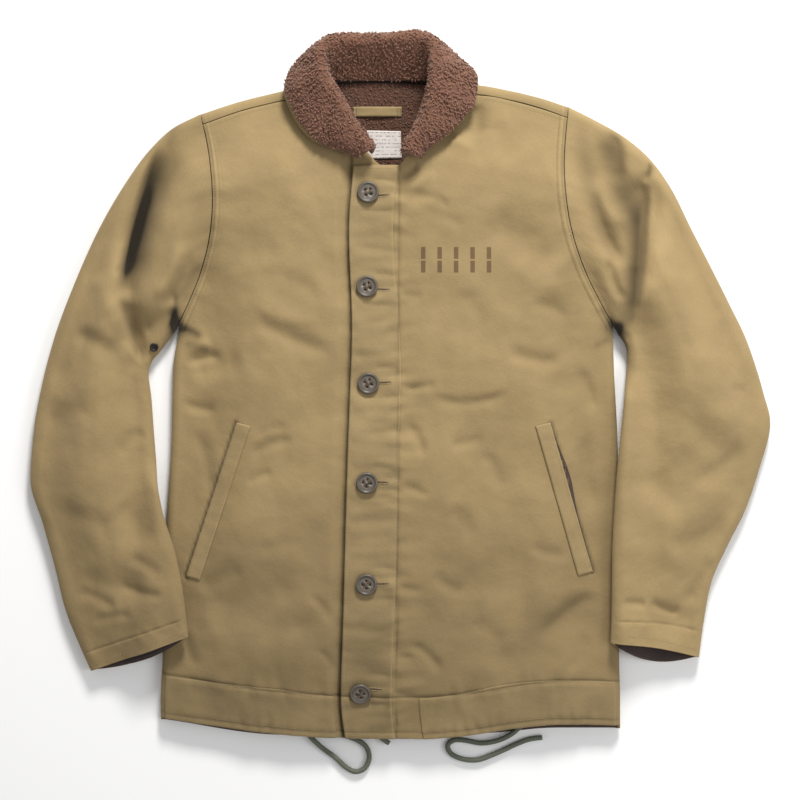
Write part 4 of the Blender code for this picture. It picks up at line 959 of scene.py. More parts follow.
def sleeve(sections, lift_start):
    """The outer face of a sleeve: s runs down the arm, c from its outer edge to its inner one."""
    read = curve(np.linspace(0, 1, len(sections)), [list(section) for section in sections])
    outward = -math.copysign(1, sections[0].outer_x)
    first = sections[0]
    first_outer = np.array([first.outer_x, first.outer_y], float)
    first_chord = np.array([first.inner_x, first.inner_y], float) - first_outer
    first_down = np.array([first_chord[1], -first_chord[0]]) / np.hypot(*first_chord) * outward

    def face(s, c, under):
        row = read(s)
        outer, inner = row[..., 0:2], row[..., 2:4]
        loft, bow_top, bow_under = row[..., 4], row[..., 5], row[..., 6]
        chord = inner - outer
        width = np.hypot(chord[..., 0], chord[..., 1])
        down = np.stack([chord[..., 1], -chord[..., 0]], -1) / width[..., None] * outward
        bow = np.where(under, bow_under, bow_top) * np.sin(math.pi * c)
        blend = smoothstep(s / 0.16)
        plan = outer + chord * c[..., None] + down * (bow + ARMHOLE_GAP * (1 - blend))[..., None]
        x, y = plan[..., 0], plan[..., 1]
        distance = np.minimum(c, 1 - c) * width
        edge = roll(distance, SLEEVE_ROLL)
        rise = smoothstep((distance - SLEEVE_ROLL) / (0.36 * width))
        over = SLEEVE_HALF * (1 + edge) + (loft - 2 * SLEEVE_HALF) * rise
        over = over + fold_height(x, y) * smoothstep(distance / 40)
        over = np.maximum(over, SLEEVE_HALF * (1 + edge) - SLEEVE_DIP * smoothstep(distance / 40))
        below = SLEEVE_HALF * (1 - edge)
        over = over + sleeve_relief(x, y, s, c, width) * smoothstep(distance / 12)
        gap = over - SLEEVE_LOW
        over = SLEEVE_LOW + np.where(gap > 4, gap, 4 * np.exp(np.minimum(gap - 4, 0) / 4))
        own = np.where(under, below, over) + lift_over_body(x, y, lift_start)
        ring = first_outer + first_chord * c[..., None]
        bow = np.where(under, first.bow_under, first.bow_top) * np.sin(math.pi * c)
        ring = ring + first_down * bow[..., None]
        body_x, body_y = ring[..., 0], ring[..., 1]
        shared = np.where(under, body_under(body_x, body_y), body_top(body_x, body_y))
        return np.stack([x, y, shared * (1 - blend) + own * blend], -1)

    return face


sleeve_right = sleeve(SLEEVE_RIGHT, LIFT_START_RIGHT)
sleeve_left = sleeve(SLEEVE_LEFT, LIFT_START_LEFT)

stations = curve(np.linspace(0, 1, len(COLLAR)), [list(station) for station in COLLAR])
COLLAR_WALL = PILE_WALL + UNDER_WALL + SEAM


def collar_face(s, q):
    """The pile face of the collar: s runs round the neck, q from its foot to its free edge.

    Past q = 1 the face runs straight on, to the edge of the cloth behind the pile.
    """
    past = np.clip(q - 1, 0, 1)
    q = np.clip(q, 0, 1)
    row = stations(s)
    ahead, behind = stations(np.clip(s + 0.035, 0, 1)), stations(np.clip(s - 0.035, 0, 1))
    run = ahead[..., 3:5] - behind[..., 3:5]
    run = run / np.hypot(run[..., 0], run[..., 1])[..., None]
    inward = np.stack([run[..., 1], -run[..., 0]], -1)
    foot = row[..., 0:2] + inward * COLLAR_FOOT
    axis, edge = row[..., 3:5], row[..., 6:8]

    def local(plan):
        return ((plan - axis) * inward).sum(-1), ((plan - axis) * run).sum(-1)

    foot_h, foot_r = local(foot)
    edge_h, edge_r = local(edge)
    foot_z, edge_z = row[..., 2] - row[..., 5], row[..., 8] - row[..., 5]
    foot_d = np.maximum(np.hypot(foot_h, foot_z), COLLAR_ROLL + 0.01)
    edge_d = np.maximum(np.hypot(edge_h, edge_z), COLLAR_ROLL + 0.01)
    start = np.arctan2(foot_z, foot_h) + np.arccos(COLLAR_ROLL / foot_d)
    end = np.arctan2(edge_z, edge_h)
    end = np.where(end < math.pi / 2, end + 2 * math.pi, end) - np.arccos(COLLAR_ROLL / edge_d)
    end = np.maximum(end, start + 0.6)
    up = np.clip(q / 0.25, 0, 1)
    turn = np.clip((q - 0.25) / 0.40, 0, 1)
    fall = np.clip((q - 0.65) / 0.35, 0, 1)
    angle = start + (end - start) * turn
    h = COLLAR_ROLL * np.cos(angle)
    z = COLLAR_ROLL * np.sin(angle)
    h = np.where(q < 0.25, foot_h + (h - foot_h) * up, h)
    z = np.where(q < 0.25, foot_z + (z - foot_z) * up, z)
    bulge = 2.0 * np.sin(math.pi * fall)
    h = np.where(q > 0.65, h + (edge_h - h) * fall + bulge * np.cos(angle), h)
    z = np.where(q > 0.65, z + (edge_z - z) * fall + bulge * np.sin(angle), z)
    r = foot_r * (1 - np.clip(q / 0.45, 0, 1)) ** 2 + edge_r * np.clip((q - 0.45) / 0.55, 0, 1) ** 2
    plan = axis + inward * h[..., None] + run * r[..., None]
    x, y = plan[..., 0], plan[..., 1]
    height = z + row[..., 5]
    floor = body_top(x, y) + COLLAR_WALL + 1.2 - 60 * smoothstep(-ridge_distance(x, y) / 12)
    floor = np.where(q > 0.45, floor, -100)
    spot = np.stack([x, y, np.maximum(height, floor)], -1)
    if not np.any(past > 0):
        return spot
    turn_back = collar_face(s, np.where(past > 0, 0.97, q))
    on = spot - turn_back
    on = on / np.maximum(np.linalg.norm(on, axis=-1), 1e-9)[..., None]
    width = TURN_LEFT + (TURN_RIGHT - TURN_LEFT) * smoothstep((0.6 - s) / 0.2)
    width = 0.6 + (width - 0.6) * smoothstep((s - 0.03) / 0.12) * smoothstep((0.97 - s) / 0.12)
    return spot + on * (width * past)[..., None]


def lining_face(u, v):
    """The pile face of the piece that shows inside the neck."""
    x = LINING_X[0] + (LINING_X[1] - LINING_X[0]) * u
    y = LINING_START + (ridge(x) - LINING_BELOW_RIDGE - LINING_START) * v
    return np.stack([x, y, np.full(x.shape, WALL + SEAM + LINING_WALL)], -1)


def normals(face, a, b, low_a, high_a, low_b, high_b, step):
    """Unit normals of a face by differences, kept inside its range."""
    a0, a1 = np.maximum(a - step, low_a), np.minimum(a + step, high_a)
    b0, b1 = np.maximum(b - step, low_b), np.minimum(b + step, high_b)
    along_a = face(a1, b) - face(a0, b)
    along_b = face(a, b1) - face(a, b0)
    n = np.cross(along_a, along_b)
    return n / np.maximum(np.linalg.norm(n, axis=-1), 1e-12)[..., None]


def panel_points(face, us, vs, offsets, flip=1.0, high_b=1.0, step=1e-6):
    """Points of a panel at several distances out of its face."""
    v, u = np.meshgrid(np.asarray(vs, float), np.asarray(us, float), indexing="ij")
    n = normals(face, u, v, us[0], us[-1], 0.0, high_b, step) * flip
    p = face(u, v)
    return [p + n * offset for offset in offsets]


def tube_points(face, ss, offsets, c, under):
    """Points of a sleeve, ring by ring, at several distances out of its face."""
    s, c = np.meshgrid(np.asarray(ss, float), c, indexing="ij")
    under = np.broadcast_to(under, s.shape)
    step = 1e-6
    c0, c1 = np.maximum(c - step, 0), np.minimum(c + step, 1)
    s0, s1 = np.maximum(s - step, 0), np.minimum(s + step, 1)
    along_c = face(s, c1, under) - face(s, c0, under)
    along_s = face(s1, c, under) - face(s0, c, under)
    n = np.cross(along_s, along_c)
    n = n / np.linalg.norm(n, axis=-1)[..., None]
    p = face(s, c, under)
    up = np.where(under, -1.0, 1.0)
    ends = (c <= 0) | (c >= 1)
    centre = p.mean(axis=1, keepdims=True)
    outside = np.sign(((p - centre) * n)[..., :2].sum(-1))
    sign = np.where(ends, outside, np.sign(n[..., 2]) * up)
    n = n * np.where(sign == 0, 1, sign)[..., None]
    return [p + n * offset for offset in offsets]


def graded(count, low=0.0, high=1.0, spots=()):
    """Steps from low to high that crowd together near some spots: (place, reach, how much)."""
    t = np.linspace(0, 1, 4000)
    density = np.ones_like(t)
    for place, reach, more in spots:
        density += more * np.exp(-(((t - (place - low) / (high - low)) / reach) ** 2))
    run = np.concatenate([[0], np.cumsum((density[1:] + density[:-1]) / 2)])
    return low + (high - low) * np.interp(np.linspace(0, run[-1], count), run, t)


def to_frame(points):
    """From garment millimetres to the frame's metres."""
    return (np.asarray(points, float) - SHIFT) * MM


def make(name, points, faces, finishes, grain=None, tone=None, kinds=None):
    """A mesh piece from points in garment millimetres, with cloth grain and tone if given."""
    mesh = bpy.data.meshes.new(name)
    mesh.from_pydata(to_frame(points).tolist(), [], faces)
    for finish in finishes:
        mesh.materials.append(finish)
    if kinds is not None:
        mesh.polygons.foreach_set("material_index", kinds)
    if grain is not None:
        layer = mesh.uv_layers.new(name="grain")
        corners = np.zeros(len(mesh.loops), np.int32)
        mesh.loops.foreach_get("vertex_index", corners)
        layer.data.foreach_set("uv", (np.asarray(grain, np.float32) * MM)[corners].ravel())
    if tone is not None:
        layer = mesh.attributes.new("tone", "FLOAT", "POINT")
        layer.data.foreach_set("value", np.asarray(tone, np.float32).ravel())
    bm = bmesh.new()
    bm.from_mesh(mesh)
    bmesh.ops.recalc_face_normals(bm, faces=bm.faces[:])
    bm.to_mesh(mesh)
    bm.free()
    mesh.polygons.foreach_set("use_smooth", [True] * len(mesh.polygons))
    made = bpy.data.objects.new(name, mesh)
    bpy.context.scene.collection.objects.link(made)
    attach(made, "root")
    return made


def stands_for(made, node):
    """Hide the solid that a piece replaces, and give the piece back."""
    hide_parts(node)
    return made


def quads(rows, columns, start, ring):
    """Faces of a grid of points whose numbers begin at start."""
    spans = columns if ring else columns - 1
    i, j = np.meshgrid(np.arange(rows - 1), np.arange(spans), indexing="ij")
    k = (j + 1) % columns
    faces = np.stack([i * columns + j, i * columns + k, (i + 1) * columns + k, (i + 1) * columns + j], -1)
    return (faces.reshape(-1, 4) + start).tolist()


def rim(fine, stops, coarse):
    """Faces between a fine edge and a coarse one that has a point at each stop."""
    faces = []
    for k in range(len(stops) - 1):
        a, b = stops[k], stops[k + 1]
        middle = (a + b) // 2
        for i in range(a, b):
            faces.append((fine[i], fine[i + 1], coarse[k] if i < middle else coarse[k + 1]))
        faces.append((fine[middle], coarse[k + 1], coarse[k]))
    return faces


def shell(name, outside, inside, finishes, grain, tone, ring=False, every=2):
    """A closed cloth wall: a fine outer grid, a coarser inner one, and rims between them."""
    rows, columns = outside.shape[:2]
    keep_rows = sorted(set(list(range(0, rows, every)) + [rows - 1]))
    keep_columns = sorted(set(list(range(0, columns, every)) + ([] if ring else [columns - 1])))
    low = inside[np.ix_(keep_rows, keep_columns)]
    half, low_rows, low_columns = rows * columns, len(keep_rows), len(keep_columns)
    faces = quads(rows, columns, 0, ring)
    outer_count = len(faces)
    inner = quads(low_rows, low_columns, half, ring)
    top = np.arange(half).reshape(rows, columns)
    under = half + np.arange(low_rows * low_columns).reshape(low_rows, low_columns)
    stops = keep_columns + ([columns] if ring else [])
    edges = []
    for i, k in ((0, 0), (rows - 1, low_rows - 1)):
        fine, coarse = top[i].tolist(), under[k].tolist()
        if ring:
            fine, coarse = fine + fine[:1], coarse + coarse[:1]
        edges += rim(fine, stops, coarse)
    if not ring:
        for j, k in ((0, 0), (columns - 1, low_columns - 1)):
            edges += rim(top[:, j].tolist(), keep_rows, under[:, k].tolist())
    points = np.concatenate([outside.reshape(-1, 3), low.reshape(-1, 3)])
    marks = np.concatenate([grain.reshape(-1, 2), grain[np.ix_(keep_rows, keep_columns)].reshape(-1, 2)])
    shades = np.concatenate([tone.reshape(-1), tone[np.ix_(keep_rows, keep_columns)].reshape(-1)])
    faces = faces + edges + inner
    kinds = [0] * (outer_count + len(edges)) + [len(finishes) - 1] * len(inner)
    return make(name, points, faces, finishes, marks, shades, kinds)


def node(tree, kind, sockets=None, **settings):
    """A shader node with its settings, and its sockets set or linked."""
    made = tree.nodes.new(kind)
    for key, value in settings.items():
        setattr(made, key, value)
    for key, value in (sockets or {}).items():
        if isinstance(value, bpy.types.NodeSocket):
            tree.links.new(value, made.inputs[key])
        else:
            made.inputs[key].default_value = value
    return made


def sums(tree, operation, *values):
    """Result of a maths node."""
    return node(tree, "ShaderNodeMath", dict(enumerate(values)), operation=operation).outputs[0]


def noise_of(tree, vector, scale, detail=3.0, rough=0.55):
    """A noise texture, as a value from 0 to 1."""
    sockets = {"Vector": vector, "Scale": scale, "Detail": detail, "Roughness": rough}
    return node(tree, "ShaderNodeTexNoise", sockets).outputs["Fac"]


def spread_between(tree, value, low, high):
    """A value from 0 to 1 spread from low to high."""
    made = node(tree, "ShaderNodeMapRange", {"Value": value, "To Min": low, "To Max": high})
    return made.outputs["Result"]


def tinted(tree, colour, *factors):
    """A colour times some factors."""
    total = factors[0]
    for factor in factors[1:]:
        total = sums(tree, "MULTIPLY", total, factor)
    made = node(tree, "ShaderNodeVectorMath", {0: colour[:3]}, operation="SCALE")
    tree.links.new(total, made.inputs["Scale"])
    return made.outputs[0]


def blank(name):
    """A new material, its node tree and its shader."""
    made = bpy.data.materials.new(name)
    made.use_nodes = True
    tree = made.node_tree
    return made, tree, tree.nodes["Principled BSDF"]


def bump(tree, shader, *layers):
    """Bump layers: (height, distance in metres, strength)."""
    normal = None
    for height, distance, strength in layers:
        values = {"Height": height, "Distance": distance, "Strength": strength}
        if normal is not None:
            values["Normal"] = normal
        normal = node(tree, "ShaderNodeBump", values).outputs["Normal"]
    tree.links.new(normal, shader.inputs["Normal"])


def grain_of(tree, across=1.0, along=1.0):
    """Cloth coordinates in metres, with the two directions stretched."""
    uv = node(tree, "ShaderNodeUVMap", uv_map="grain").outputs["UV"]
    made = node(tree, "ShaderNodeMapping", {"Vector": uv, "Scale": (across, along, 1.0)})
    return uv, made.outputs["Vector"]


def tone_of(tree):
    """The mesh's tone at each point: wear, and painted shade and light."""
    return node(tree, "ShaderNodeAttribute", attribute_name="tone").outputs["Fac"]


def place_of(tree):
    """Place of each point on its piece, in metres."""
    return node(tree, "ShaderNodeTexCoord").outputs["Object"]


def cloth(name, colour, stencil=False):
    """Ribbed cotton: fine cross ribs, slubs, soft mottling, and the tone of the mesh, which holds wear and
    painted shade and light.
    """
    made, tree, shader = blank(name)
    uv, threads = grain_of(tree, 260.0, 1500.0)
    split = node(tree, "ShaderNodeSeparateXYZ", {"Vector": uv})
    ribs = sums(tree, "SINE", sums(tree, "MULTIPLY", split.outputs["Y"], 2 * math.pi / RIB_PITCH))
    slubs = noise_of(tree, threads, 1.0, 2.0)
    mottle = noise_of(tree, uv, 26.0, 4.0)
    crumple = noise_of(tree, uv, 95.0, 3.0)
    tone = tone_of(tree)
    shade = tinted(tree, colour, tone, spread_between(tree, mottle, 0.90, 1.10),
                   spread_between(tree, slubs, 0.86, 1.14), spread_between(tree, ribs, 0.985, 1.0))
    if stencil:
        ink = stencil_mask(tree, split)
        mixed = node(tree, "ShaderNodeMix", {"Factor": ink, "A": shade}, data_type="RGBA")
        tree.links.new(shade, mixed.inputs[6])
        mixed.inputs[7].default_value = (*INK, 1)
        shade = mixed.outputs[2]
    tree.links.new(shade, shader.inputs["Base Color"])
    tree.links.new(spread_between(tree, mottle, 0.78, 0.92), shader.inputs["Roughness"])
    shader.inputs["Sheen Weight"].default_value = 0.18
    shader.inputs["Sheen Roughness"].default_value = 0.45
    shader.inputs["Sheen Tint"].default_value = (1.0, 0.92, 0.78, 1)
    shader.inputs["Specular IOR Level"].default_value = 0.25
    bump(tree, shader, (crumple, 0.0011, 0.55), (slubs, 0.00035, 0.5), (ribs, 0.00012, 0.35))
    return made


def stencil_mask(tree, split):
    """Plain upright stencil bars, each cut once across, their ink a little rubbed off."""
    x = sums(tree, "MULTIPLY", split.outputs["X"], 1 / MM)
    y = sums(tree, "MULTIPLY", split.outputs["Y"], 1 / MM)
    left, low, right, high = STENCIL_BOX
    step = (right - left) / STENCIL_BARS
    place = sums(tree, "MODULO", sums(tree, "SUBTRACT", x, left), step)
    middle = (low + high) / 2
    from_middle = sums(tree, "ABSOLUTE", sums(tree, "SUBTRACT", y, middle))
    tests = [
        sums(tree, "LESS_THAN", place, STENCIL_BAR), sums(tree, "GREATER_THAN", x, left),
        sums(tree, "LESS_THAN", x, right), sums(tree, "GREATER_THAN", y, low),
        sums(tree, "LESS_THAN", y, high),
        sums(tree, "GREATER_THAN", from_middle, STENCIL_BRIDGE / 2),
    ]
    total = tests[0]
    for test in tests[1:]:
        total = sums(tree, "MULTIPLY", total, test)
    uv = node(tree, "ShaderNodeUVMap", uv_map="grain").outputs["UV"]
    wear = noise_of(tree, uv, 900.0, 3.0)
    return sums(tree, "MULTIPLY", total, spread_between(tree, wear, 0.55, 1.05))


def pile_finish(name, colour):
    """Wool pile: matt, with a soft sheen; the tufts' tone paints shade at the roots and light at the tips.
    """
    made, tree, shader = blank(name)
    where = place_of(tree)
    tone = tone_of(tree)
    clouds = noise_of(tree, where, 38.0, 3.0)
    fibres = noise_of(tree, where, 1400.0, 2.0)
    shade = tinted(tree, colour, tone, spread_between(tree, clouds, 0.82, 1.18),
                   spread_between(tree, fibres, 0.75, 1.25))
    tree.links.new(shade, shader.inputs["Base Color"])
    tree.links.new(spread_between(tree, fibres, 0.88, 1.0), shader.inputs["Roughness"])
    shader.inputs["Sheen Weight"].default_value = 0.35
    shader.inputs["Sheen Roughness"].default_value = 0.6
    shader.inputs["Sheen Tint"].default_value = (1.0, 0.80, 0.70, 1)
    shader.inputs["Specular IOR Level"].default_value = 0.15
    bump(tree, shader, (fibres, 0.0006, 0.6))
    return made


def knit_finish(name, colour):
    """Dark lining cloth with a close uneven knit."""
    made, tree, shader = blank(name)
    uv, loops = grain_of(tree, 700.0, 900.0)
    knots = noise_of(tree, loops, 1.0, 2.0)
    clouds = noise_of(tree, uv, 60.0, 3.0)
    shade = tinted(tree, colour, spread_between(tree, knots, 0.6, 1.4),
                   spread_between(tree, clouds, 0.8, 1.2))
    tree.links.new(shade, shader.inputs["Base Color"])
    tree.links.new(spread_between(tree, knots, 0.85, 1.0), shader.inputs["Roughness"])
    shader.inputs["Sheen Weight"].default_value = 0.1
    bump(tree, shader, (knots, 0.0007, 0.7))
    return made


def thread_finish(name, colour):
    """Twisted sewing thread."""
    made, tree, shader = blank(name)
    where = place_of(tree)
    twist = noise_of(tree, where, 2600.0, 2.0)
    clouds = noise_of(tree, where, 45.0, 2.0)
    shade = tinted(tree, colour, spread_between(tree, twist, 0.8, 1.2),
                   spread_between(tree, clouds, 0.85, 1.15))
    tree.links.new(shade, shader.inputs["Base Color"])
    tree.links.new(spread_between(tree, twist, 0.6, 0.8), shader.inputs["Roughness"])
    bump(tree, shader, (twist, 0.0002, 0.5))
    return made


def button_finish():
    """Dark horn-like plastic, clouded, with scuffs that catch the light."""
    made, tree, shader = blank("button_horn")
    where = place_of(tree)
    clouds = noise_of(tree, where, 210.0, 4.0)
    scuffs = noise_of(tree, where, 1500.0, 4.0, 0.7)
    tone = tone_of(tree)
    shade = tinted(tree, BUTTON_COLOUR, tone, spread_between(tree, clouds, 0.72, 1.3),
                   spread_between(tree, scuffs, 0.9, 1.12))
    tree.links.new(shade, shader.inputs["Base Color"])
    tree.links.new(spread_between(tree, scuffs, 0.28, 0.52), shader.inputs["Roughness"])
    bump(tree, shader, (scuffs, 0.00012, 0.5), (clouds, 0.0002, 0.3))
    return made


def metal_finish():
    """Black enamel, chipped a little."""
    made, tree, shader = blank("eyelet_black")
    where = place_of(tree)
    chips = noise_of(tree, where, 900.0, 4.0, 0.7)
    shade = tinted(tree, (0.03, 0.027, 0.025), spread_between(tree, chips, 0.6, 1.6))
    tree.links.new(shade, shader.inputs["Base Color"])
    tree.links.new(spread_between(tree, chips, 0.3, 0.5), shader.inputs["Roughness"])
    shader.inputs["Metallic"].default_value = 0.6
    bump(tree, shader, (chips, 0.0001, 0.4))
    return made


def label_finish():
    """Off-white woven tape with rows of plain grey dashes."""
    made, tree, shader = blank("label_tape")
    uv, threads = grain_of(tree, 1600.0, 900.0)
    split = node(tree, "ShaderNodeSeparateXYZ", {"Vector": uv})
    weave = noise_of(tree, threads, 1.0, 2.0)
    row = sums(tree, "MODULO", sums(tree, "MULTIPLY", split.outputs["Y"], 1 / MM), LABEL_ROW)
    printed = sums(tree, "LESS_THAN", row, LABEL_INK)
    cells = noise_of(tree, grain_of(tree, 420.0, 1000.0 / LABEL_ROW)[1], 1.0, 0.0)
    printed = sums(tree, "MULTIPLY", printed, sums(tree, "GREATER_THAN", cells, 0.5))
    shade = tinted(tree, (0.66, 0.61, 0.58), spread_between(tree, weave, 0.85, 1.1),
                   spread_between(tree, printed, 1.0, 0.45))
    tree.links.new(shade, shader.inputs["Base Color"])
    shader.inputs["Roughness"].default_value = 0.85
    bump(tree, shader, (weave, 0.0004, 0.6))
    return made


def floor_finish():
    """Pale paper under the jacket."""
    made, tree, shader = blank("floor_paper")
    where = place_of(tree)
    paper = noise_of(tree, where, 900.0, 2.0)
    shade = tinted(tree, FLOOR_COLOUR, spread_between(tree, paper, 0.99, 1.0))
    tree.links.new(shade, shader.inputs["Base Color"])
    shader.inputs["Roughness"].default_value = 0.9
    bump(tree, shader, (paper, 0.0001, 0.1))
    return made


FINISH = {
    "khaki": cloth("khaki_ribbed", KHAKI),
    "khaki_stencilled": cloth("khaki_stencilled", KHAKI, stencil=True),
    "trim": cloth("khaki_trim", KHAKI_TRIM),
    # the lining inside each piece; the same finish paints the shadow sheets in slits and holes
    "inside": knit_finish("lining_and_shadow_dark", LINING_AND_SHADOW_DARK),
    "pile": pile_finish("pile_collar", PILE_BROWN),
    "neck_pile": pile_finish("pile_neck", NECK_BROWN),
    "knit": knit_finish("knit_dark", KNIT_DARK),
    "thread": thread_finish("thread_khaki", THREAD_KHAKI),
    "dark_thread": thread_finish("thread_brown", THREAD_BROWN),
    "cord": thread_finish("cord_olive", CORD_OLIVE),
    "button": button_finish(),
    "eyelet": metal_finish(),
    "label": label_finish(),
}


def wear_and_shade_line(distance, width=2.0):
    """1 on a line, falling off beside it; it marks both lines of wear and lines of painted shade."""
    return np.exp(-((distance / width) ** 2))


def body_tone(x, y):
    """Tone of the body's cloth over a plan position: wear on its edges and seams, with painted shade towards
    the hem, in creases and seam grooves, beside the band, at the armpits and in the pocket mouths, and
    painted light on crease ridges.
    """
    # painted shade: darker towards the hem, a little more on the x < 0 side, as the light falls off from
    # above
    tone = 1.0 - (0.24 - 0.04 * np.sign(x)) * smoothstep((340 - y) / 320)
    tone = tone + 0.08 * noise(x, y, 75, 61) + 0.05 * noise(x, y, 24, 62)
    # painted shade in the hollows of the creases, puckers and seams, and painted light on their ridges
    tone = tone + np.clip(0.014 * body_relief(x, y), -0.12, 0.05)
    rub = 0.6 + 0.5 * noise(x, y, 9, 63)
    edges = wear_and_shade_line(x - band_edge(y) - 1.2, 1.5) + wear_and_shade_line(y - front_hem(x), 2.0)
    edges = edges + wear_and_shade_line(y - front_hem(x) - HEM_BAND, 1.5)
    tone = tone + 0.10 * rub * edges
    # painted shade in the stitch grooves beside the band and along the hem band, and a painted shadow along
    # the band's edge where it lies over the right front
    tone = tone - 0.30 * wear_and_shade_line(x - band_right(y) - 1.2, 1.3)
    tone = tone - 0.30 * wear_and_shade_line(y - front_hem(x) - HEM_BAND - 0.012 * np.abs(x) - 1.5, 1.3)
    tone = tone - 0.20 * wear_and_shade_line(y - front_hem(x) - HEM_STITCH, 1.0) - 0.55 * wear_and_shade_line(x - band_edge(y) + 1.5, 2.0)
    for shoulder, armpit in ARMHOLES:
        along, length, inward = armhole_place(x, y, shoulder, armpit)
        on = window(along, length, 6)
        tone = tone + on * rub * 0.10 * (wear_and_shade_line(inward - 5.4, 1.6) + wear_and_shade_line(inward - FELL, 1.0))
        # painted shade in the armhole seam and in its stitch grooves
        dark = wear_and_shade_line(inward + 0.6, 1.2)
        for row in ARMHOLE_STITCHES:
            dark = dark + 0.8 * wear_and_shade_line(inward - row, 0.9)
        tone = tone - on * 0.28 * dark
        # painted shadow under each armpit
        tone = tone - 0.75 * wear_and_shade_line(np.hypot(x - armpit[0], y - armpit[1] + 2), 10)
    # painted shade in the armpit creases
    tone = tone - fold_height(x, y, ARMPIT_CREASE_SHADE)
    for w in WELTS.values():
        along, length, across = line_place(x, y, w.top_x, w.top_y, w.bottom_x, w.bottom_y)
        # painted shadow in each pocket's mouth beside its welt
        tone = tone - 0.5 * wear_and_shade_line(across, 2.6) * window(along, length, 3)
    return np.clip(tone, 0.12, 1.3)


def sleeve_tone(x, y, s):
    """Tone of a sleeve's cloth: wear at the cuff, painted light on the sleeve at x > 0, and painted shade
    towards the cuff of the other, in the creases and at the armpit.
    """
    # painted light: the sleeve at x > 0 lighter and the other darker, by the side the light falls from;
    # painted shade darker towards the cuff of the sleeve at x < 0
    tone = 1.0 + 0.07 * noise(x, y, 75, 64) + 0.04 * noise(x, y, 24, 65) + np.where(x > 0, 0.08, -0.03)
    tone = tone - np.where(x > 0, 0.0, 0.18) * smoothstep((330 - y) / 260)
    # painted shade in the hollows of the creases and the armhole seam, and painted light on their ridges
    small = fold_height(x, y, SLEEVE_CREASES) + 1.4 * armhole_relief(x, y) + noise(x, y, 33, 13)
    tone = tone + np.clip(0.016 * small, -0.12, 0.05)
    # painted shade in the deep creases
    tone = tone - fold_height(x, y, DEEP_CREASE_SHADE)
    for _, armpit in ARMHOLES:
        # painted shadow at each armpit
        tone = tone - 0.75 * wear_and_shade_line(np.hypot(x - armpit[0], y - armpit[1]), 11)
    rub = 0.6 + 0.5 * noise(x, y, 9, 66)
    return np.clip(tone + 0.12 * rub * wear_and_shade_line((1 - s) * 600, 3.0), 0.05, 1.3)


def front_rows():
    """Rows of a front, closer at the hem, at the band over it and at the top."""
    return graded(BODY_GRID[1], spots=[(0, 0.01, 2), (0.07, 0.01, 1.2), (0.985, 0.02, 0.8)])


def front_columns():
    """Columns of a front, closer at the band and at the side."""
    spots = [(0, 0.01, 1.5), (0.15, 0.012, 1.5), (0.99, 0.014, 4), (0.96, 0.02, 1)]
    return graded(BODY_GRID[0], spots=spots)


def plan_grain(points):
    """Cloth coordinates of a panel: its plan position."""
    return points[..., :2]


def build_front(side, face, flip, finish):
    """One front with its dark inside."""
    us, vs = front_columns(), front_rows()
    outer, inner = panel_points(face, us, vs, (0, -WALL), flip=flip)
    tone = body_tone(outer[..., 0], outer[..., 1])
    made = shell("cloth_front_" + side, outer, inner, [finish, FINISH["inside"]], plan_grain(outer), tone)
    stands_for(made, "front_" + side)
    return made


def edged(thickness, distance, radius):
    """A strip's thickness, rounded off near its edges."""
    return thickness * (0.35 + 0.65 * roll(distance, radius))


def strip_on(name, face, us, vs, flip, thickness, finish, node_name):
    """A strip sewn on a front, made from the front's own points moved out, with rounded edges."""
    base, one = panel_points(face, us, vs, (SEAM, SEAM + 1.0), flip=flip)
    out = one - base
    across = np.linalg.norm(np.diff(base, axis=1), axis=-1)
    across = np.concatenate([np.zeros((len(vs), 1)), np.cumsum(across, axis=1)], axis=1)
    along = np.linalg.norm(np.diff(base, axis=0), axis=-1)
    along = np.concatenate([np.zeros((1, len(us))), np.cumsum(along, axis=0)], axis=0)
    distance = np.minimum(np.minimum(across, across[:, -1:] - across), np.minimum(along, along[-1:] - along))
    over = base + out * edged(thickness, distance, 1.6)[..., None]
    tone = body_tone(base[..., 0], base[..., 1]) + 0.10 * wear_and_shade_line(distance, 1.2)
    made = shell(name, over, base, [finish], plan_grain(base), tone)
    return stands_for(made, node_name)


def build_back():
    """The back, carried over the shoulders on to the front."""
    us = graded(BACK_GRID[0], spots=[(0, 0.012, 4), (1, 0.012, 4), (0.04, 0.02, 1), (0.96, 0.02, 1)])
    rise = graded(BACK_GRID[1], spots=[(0, 0.01, 2), (1, 0.01, 2)])
    vs = np.concatenate([rise, 1 + np.linspace(0, 1, BACK_WRAP)[1:]])
    outer, inner = panel_points(back_face, us, vs, (0, -WALL), flip=-1.0, high_b=2.0)
    tone = np.clip(body_tone(outer[..., 0], outer[..., 1]), 0.8, 1.2)
    made = shell("cloth_back", outer, inner, [FINISH["khaki"], FINISH["inside"]], plan_grain(outer), tone)
    return stands_for(made, "back")


def ring_shares():
    """Shares across a sleeve for its upper and its under side, crowded at the folds."""
    top_count, under_count = SLEEVE_GRID[:2]
    top = graded(top_count + 1, spots=[(0, 0.03, 3), (1, 0.03, 3)])[:-1]
    under = graded(under_count + 1, spots=[(0, 0.03, 3), (1, 0.03, 3)])[::-1][:-1]
    return top, under


def ring_points(face, ss, offsets):
    """Points of a sleeve, ring by ring, at several distances out of its face."""
    top, under_side = ring_shares()
    c = np.concatenate([top, under_side])
    under = np.array([False] * len(top) + [True] * len(under_side))
    return tube_points(face, ss, offsets, c, under)


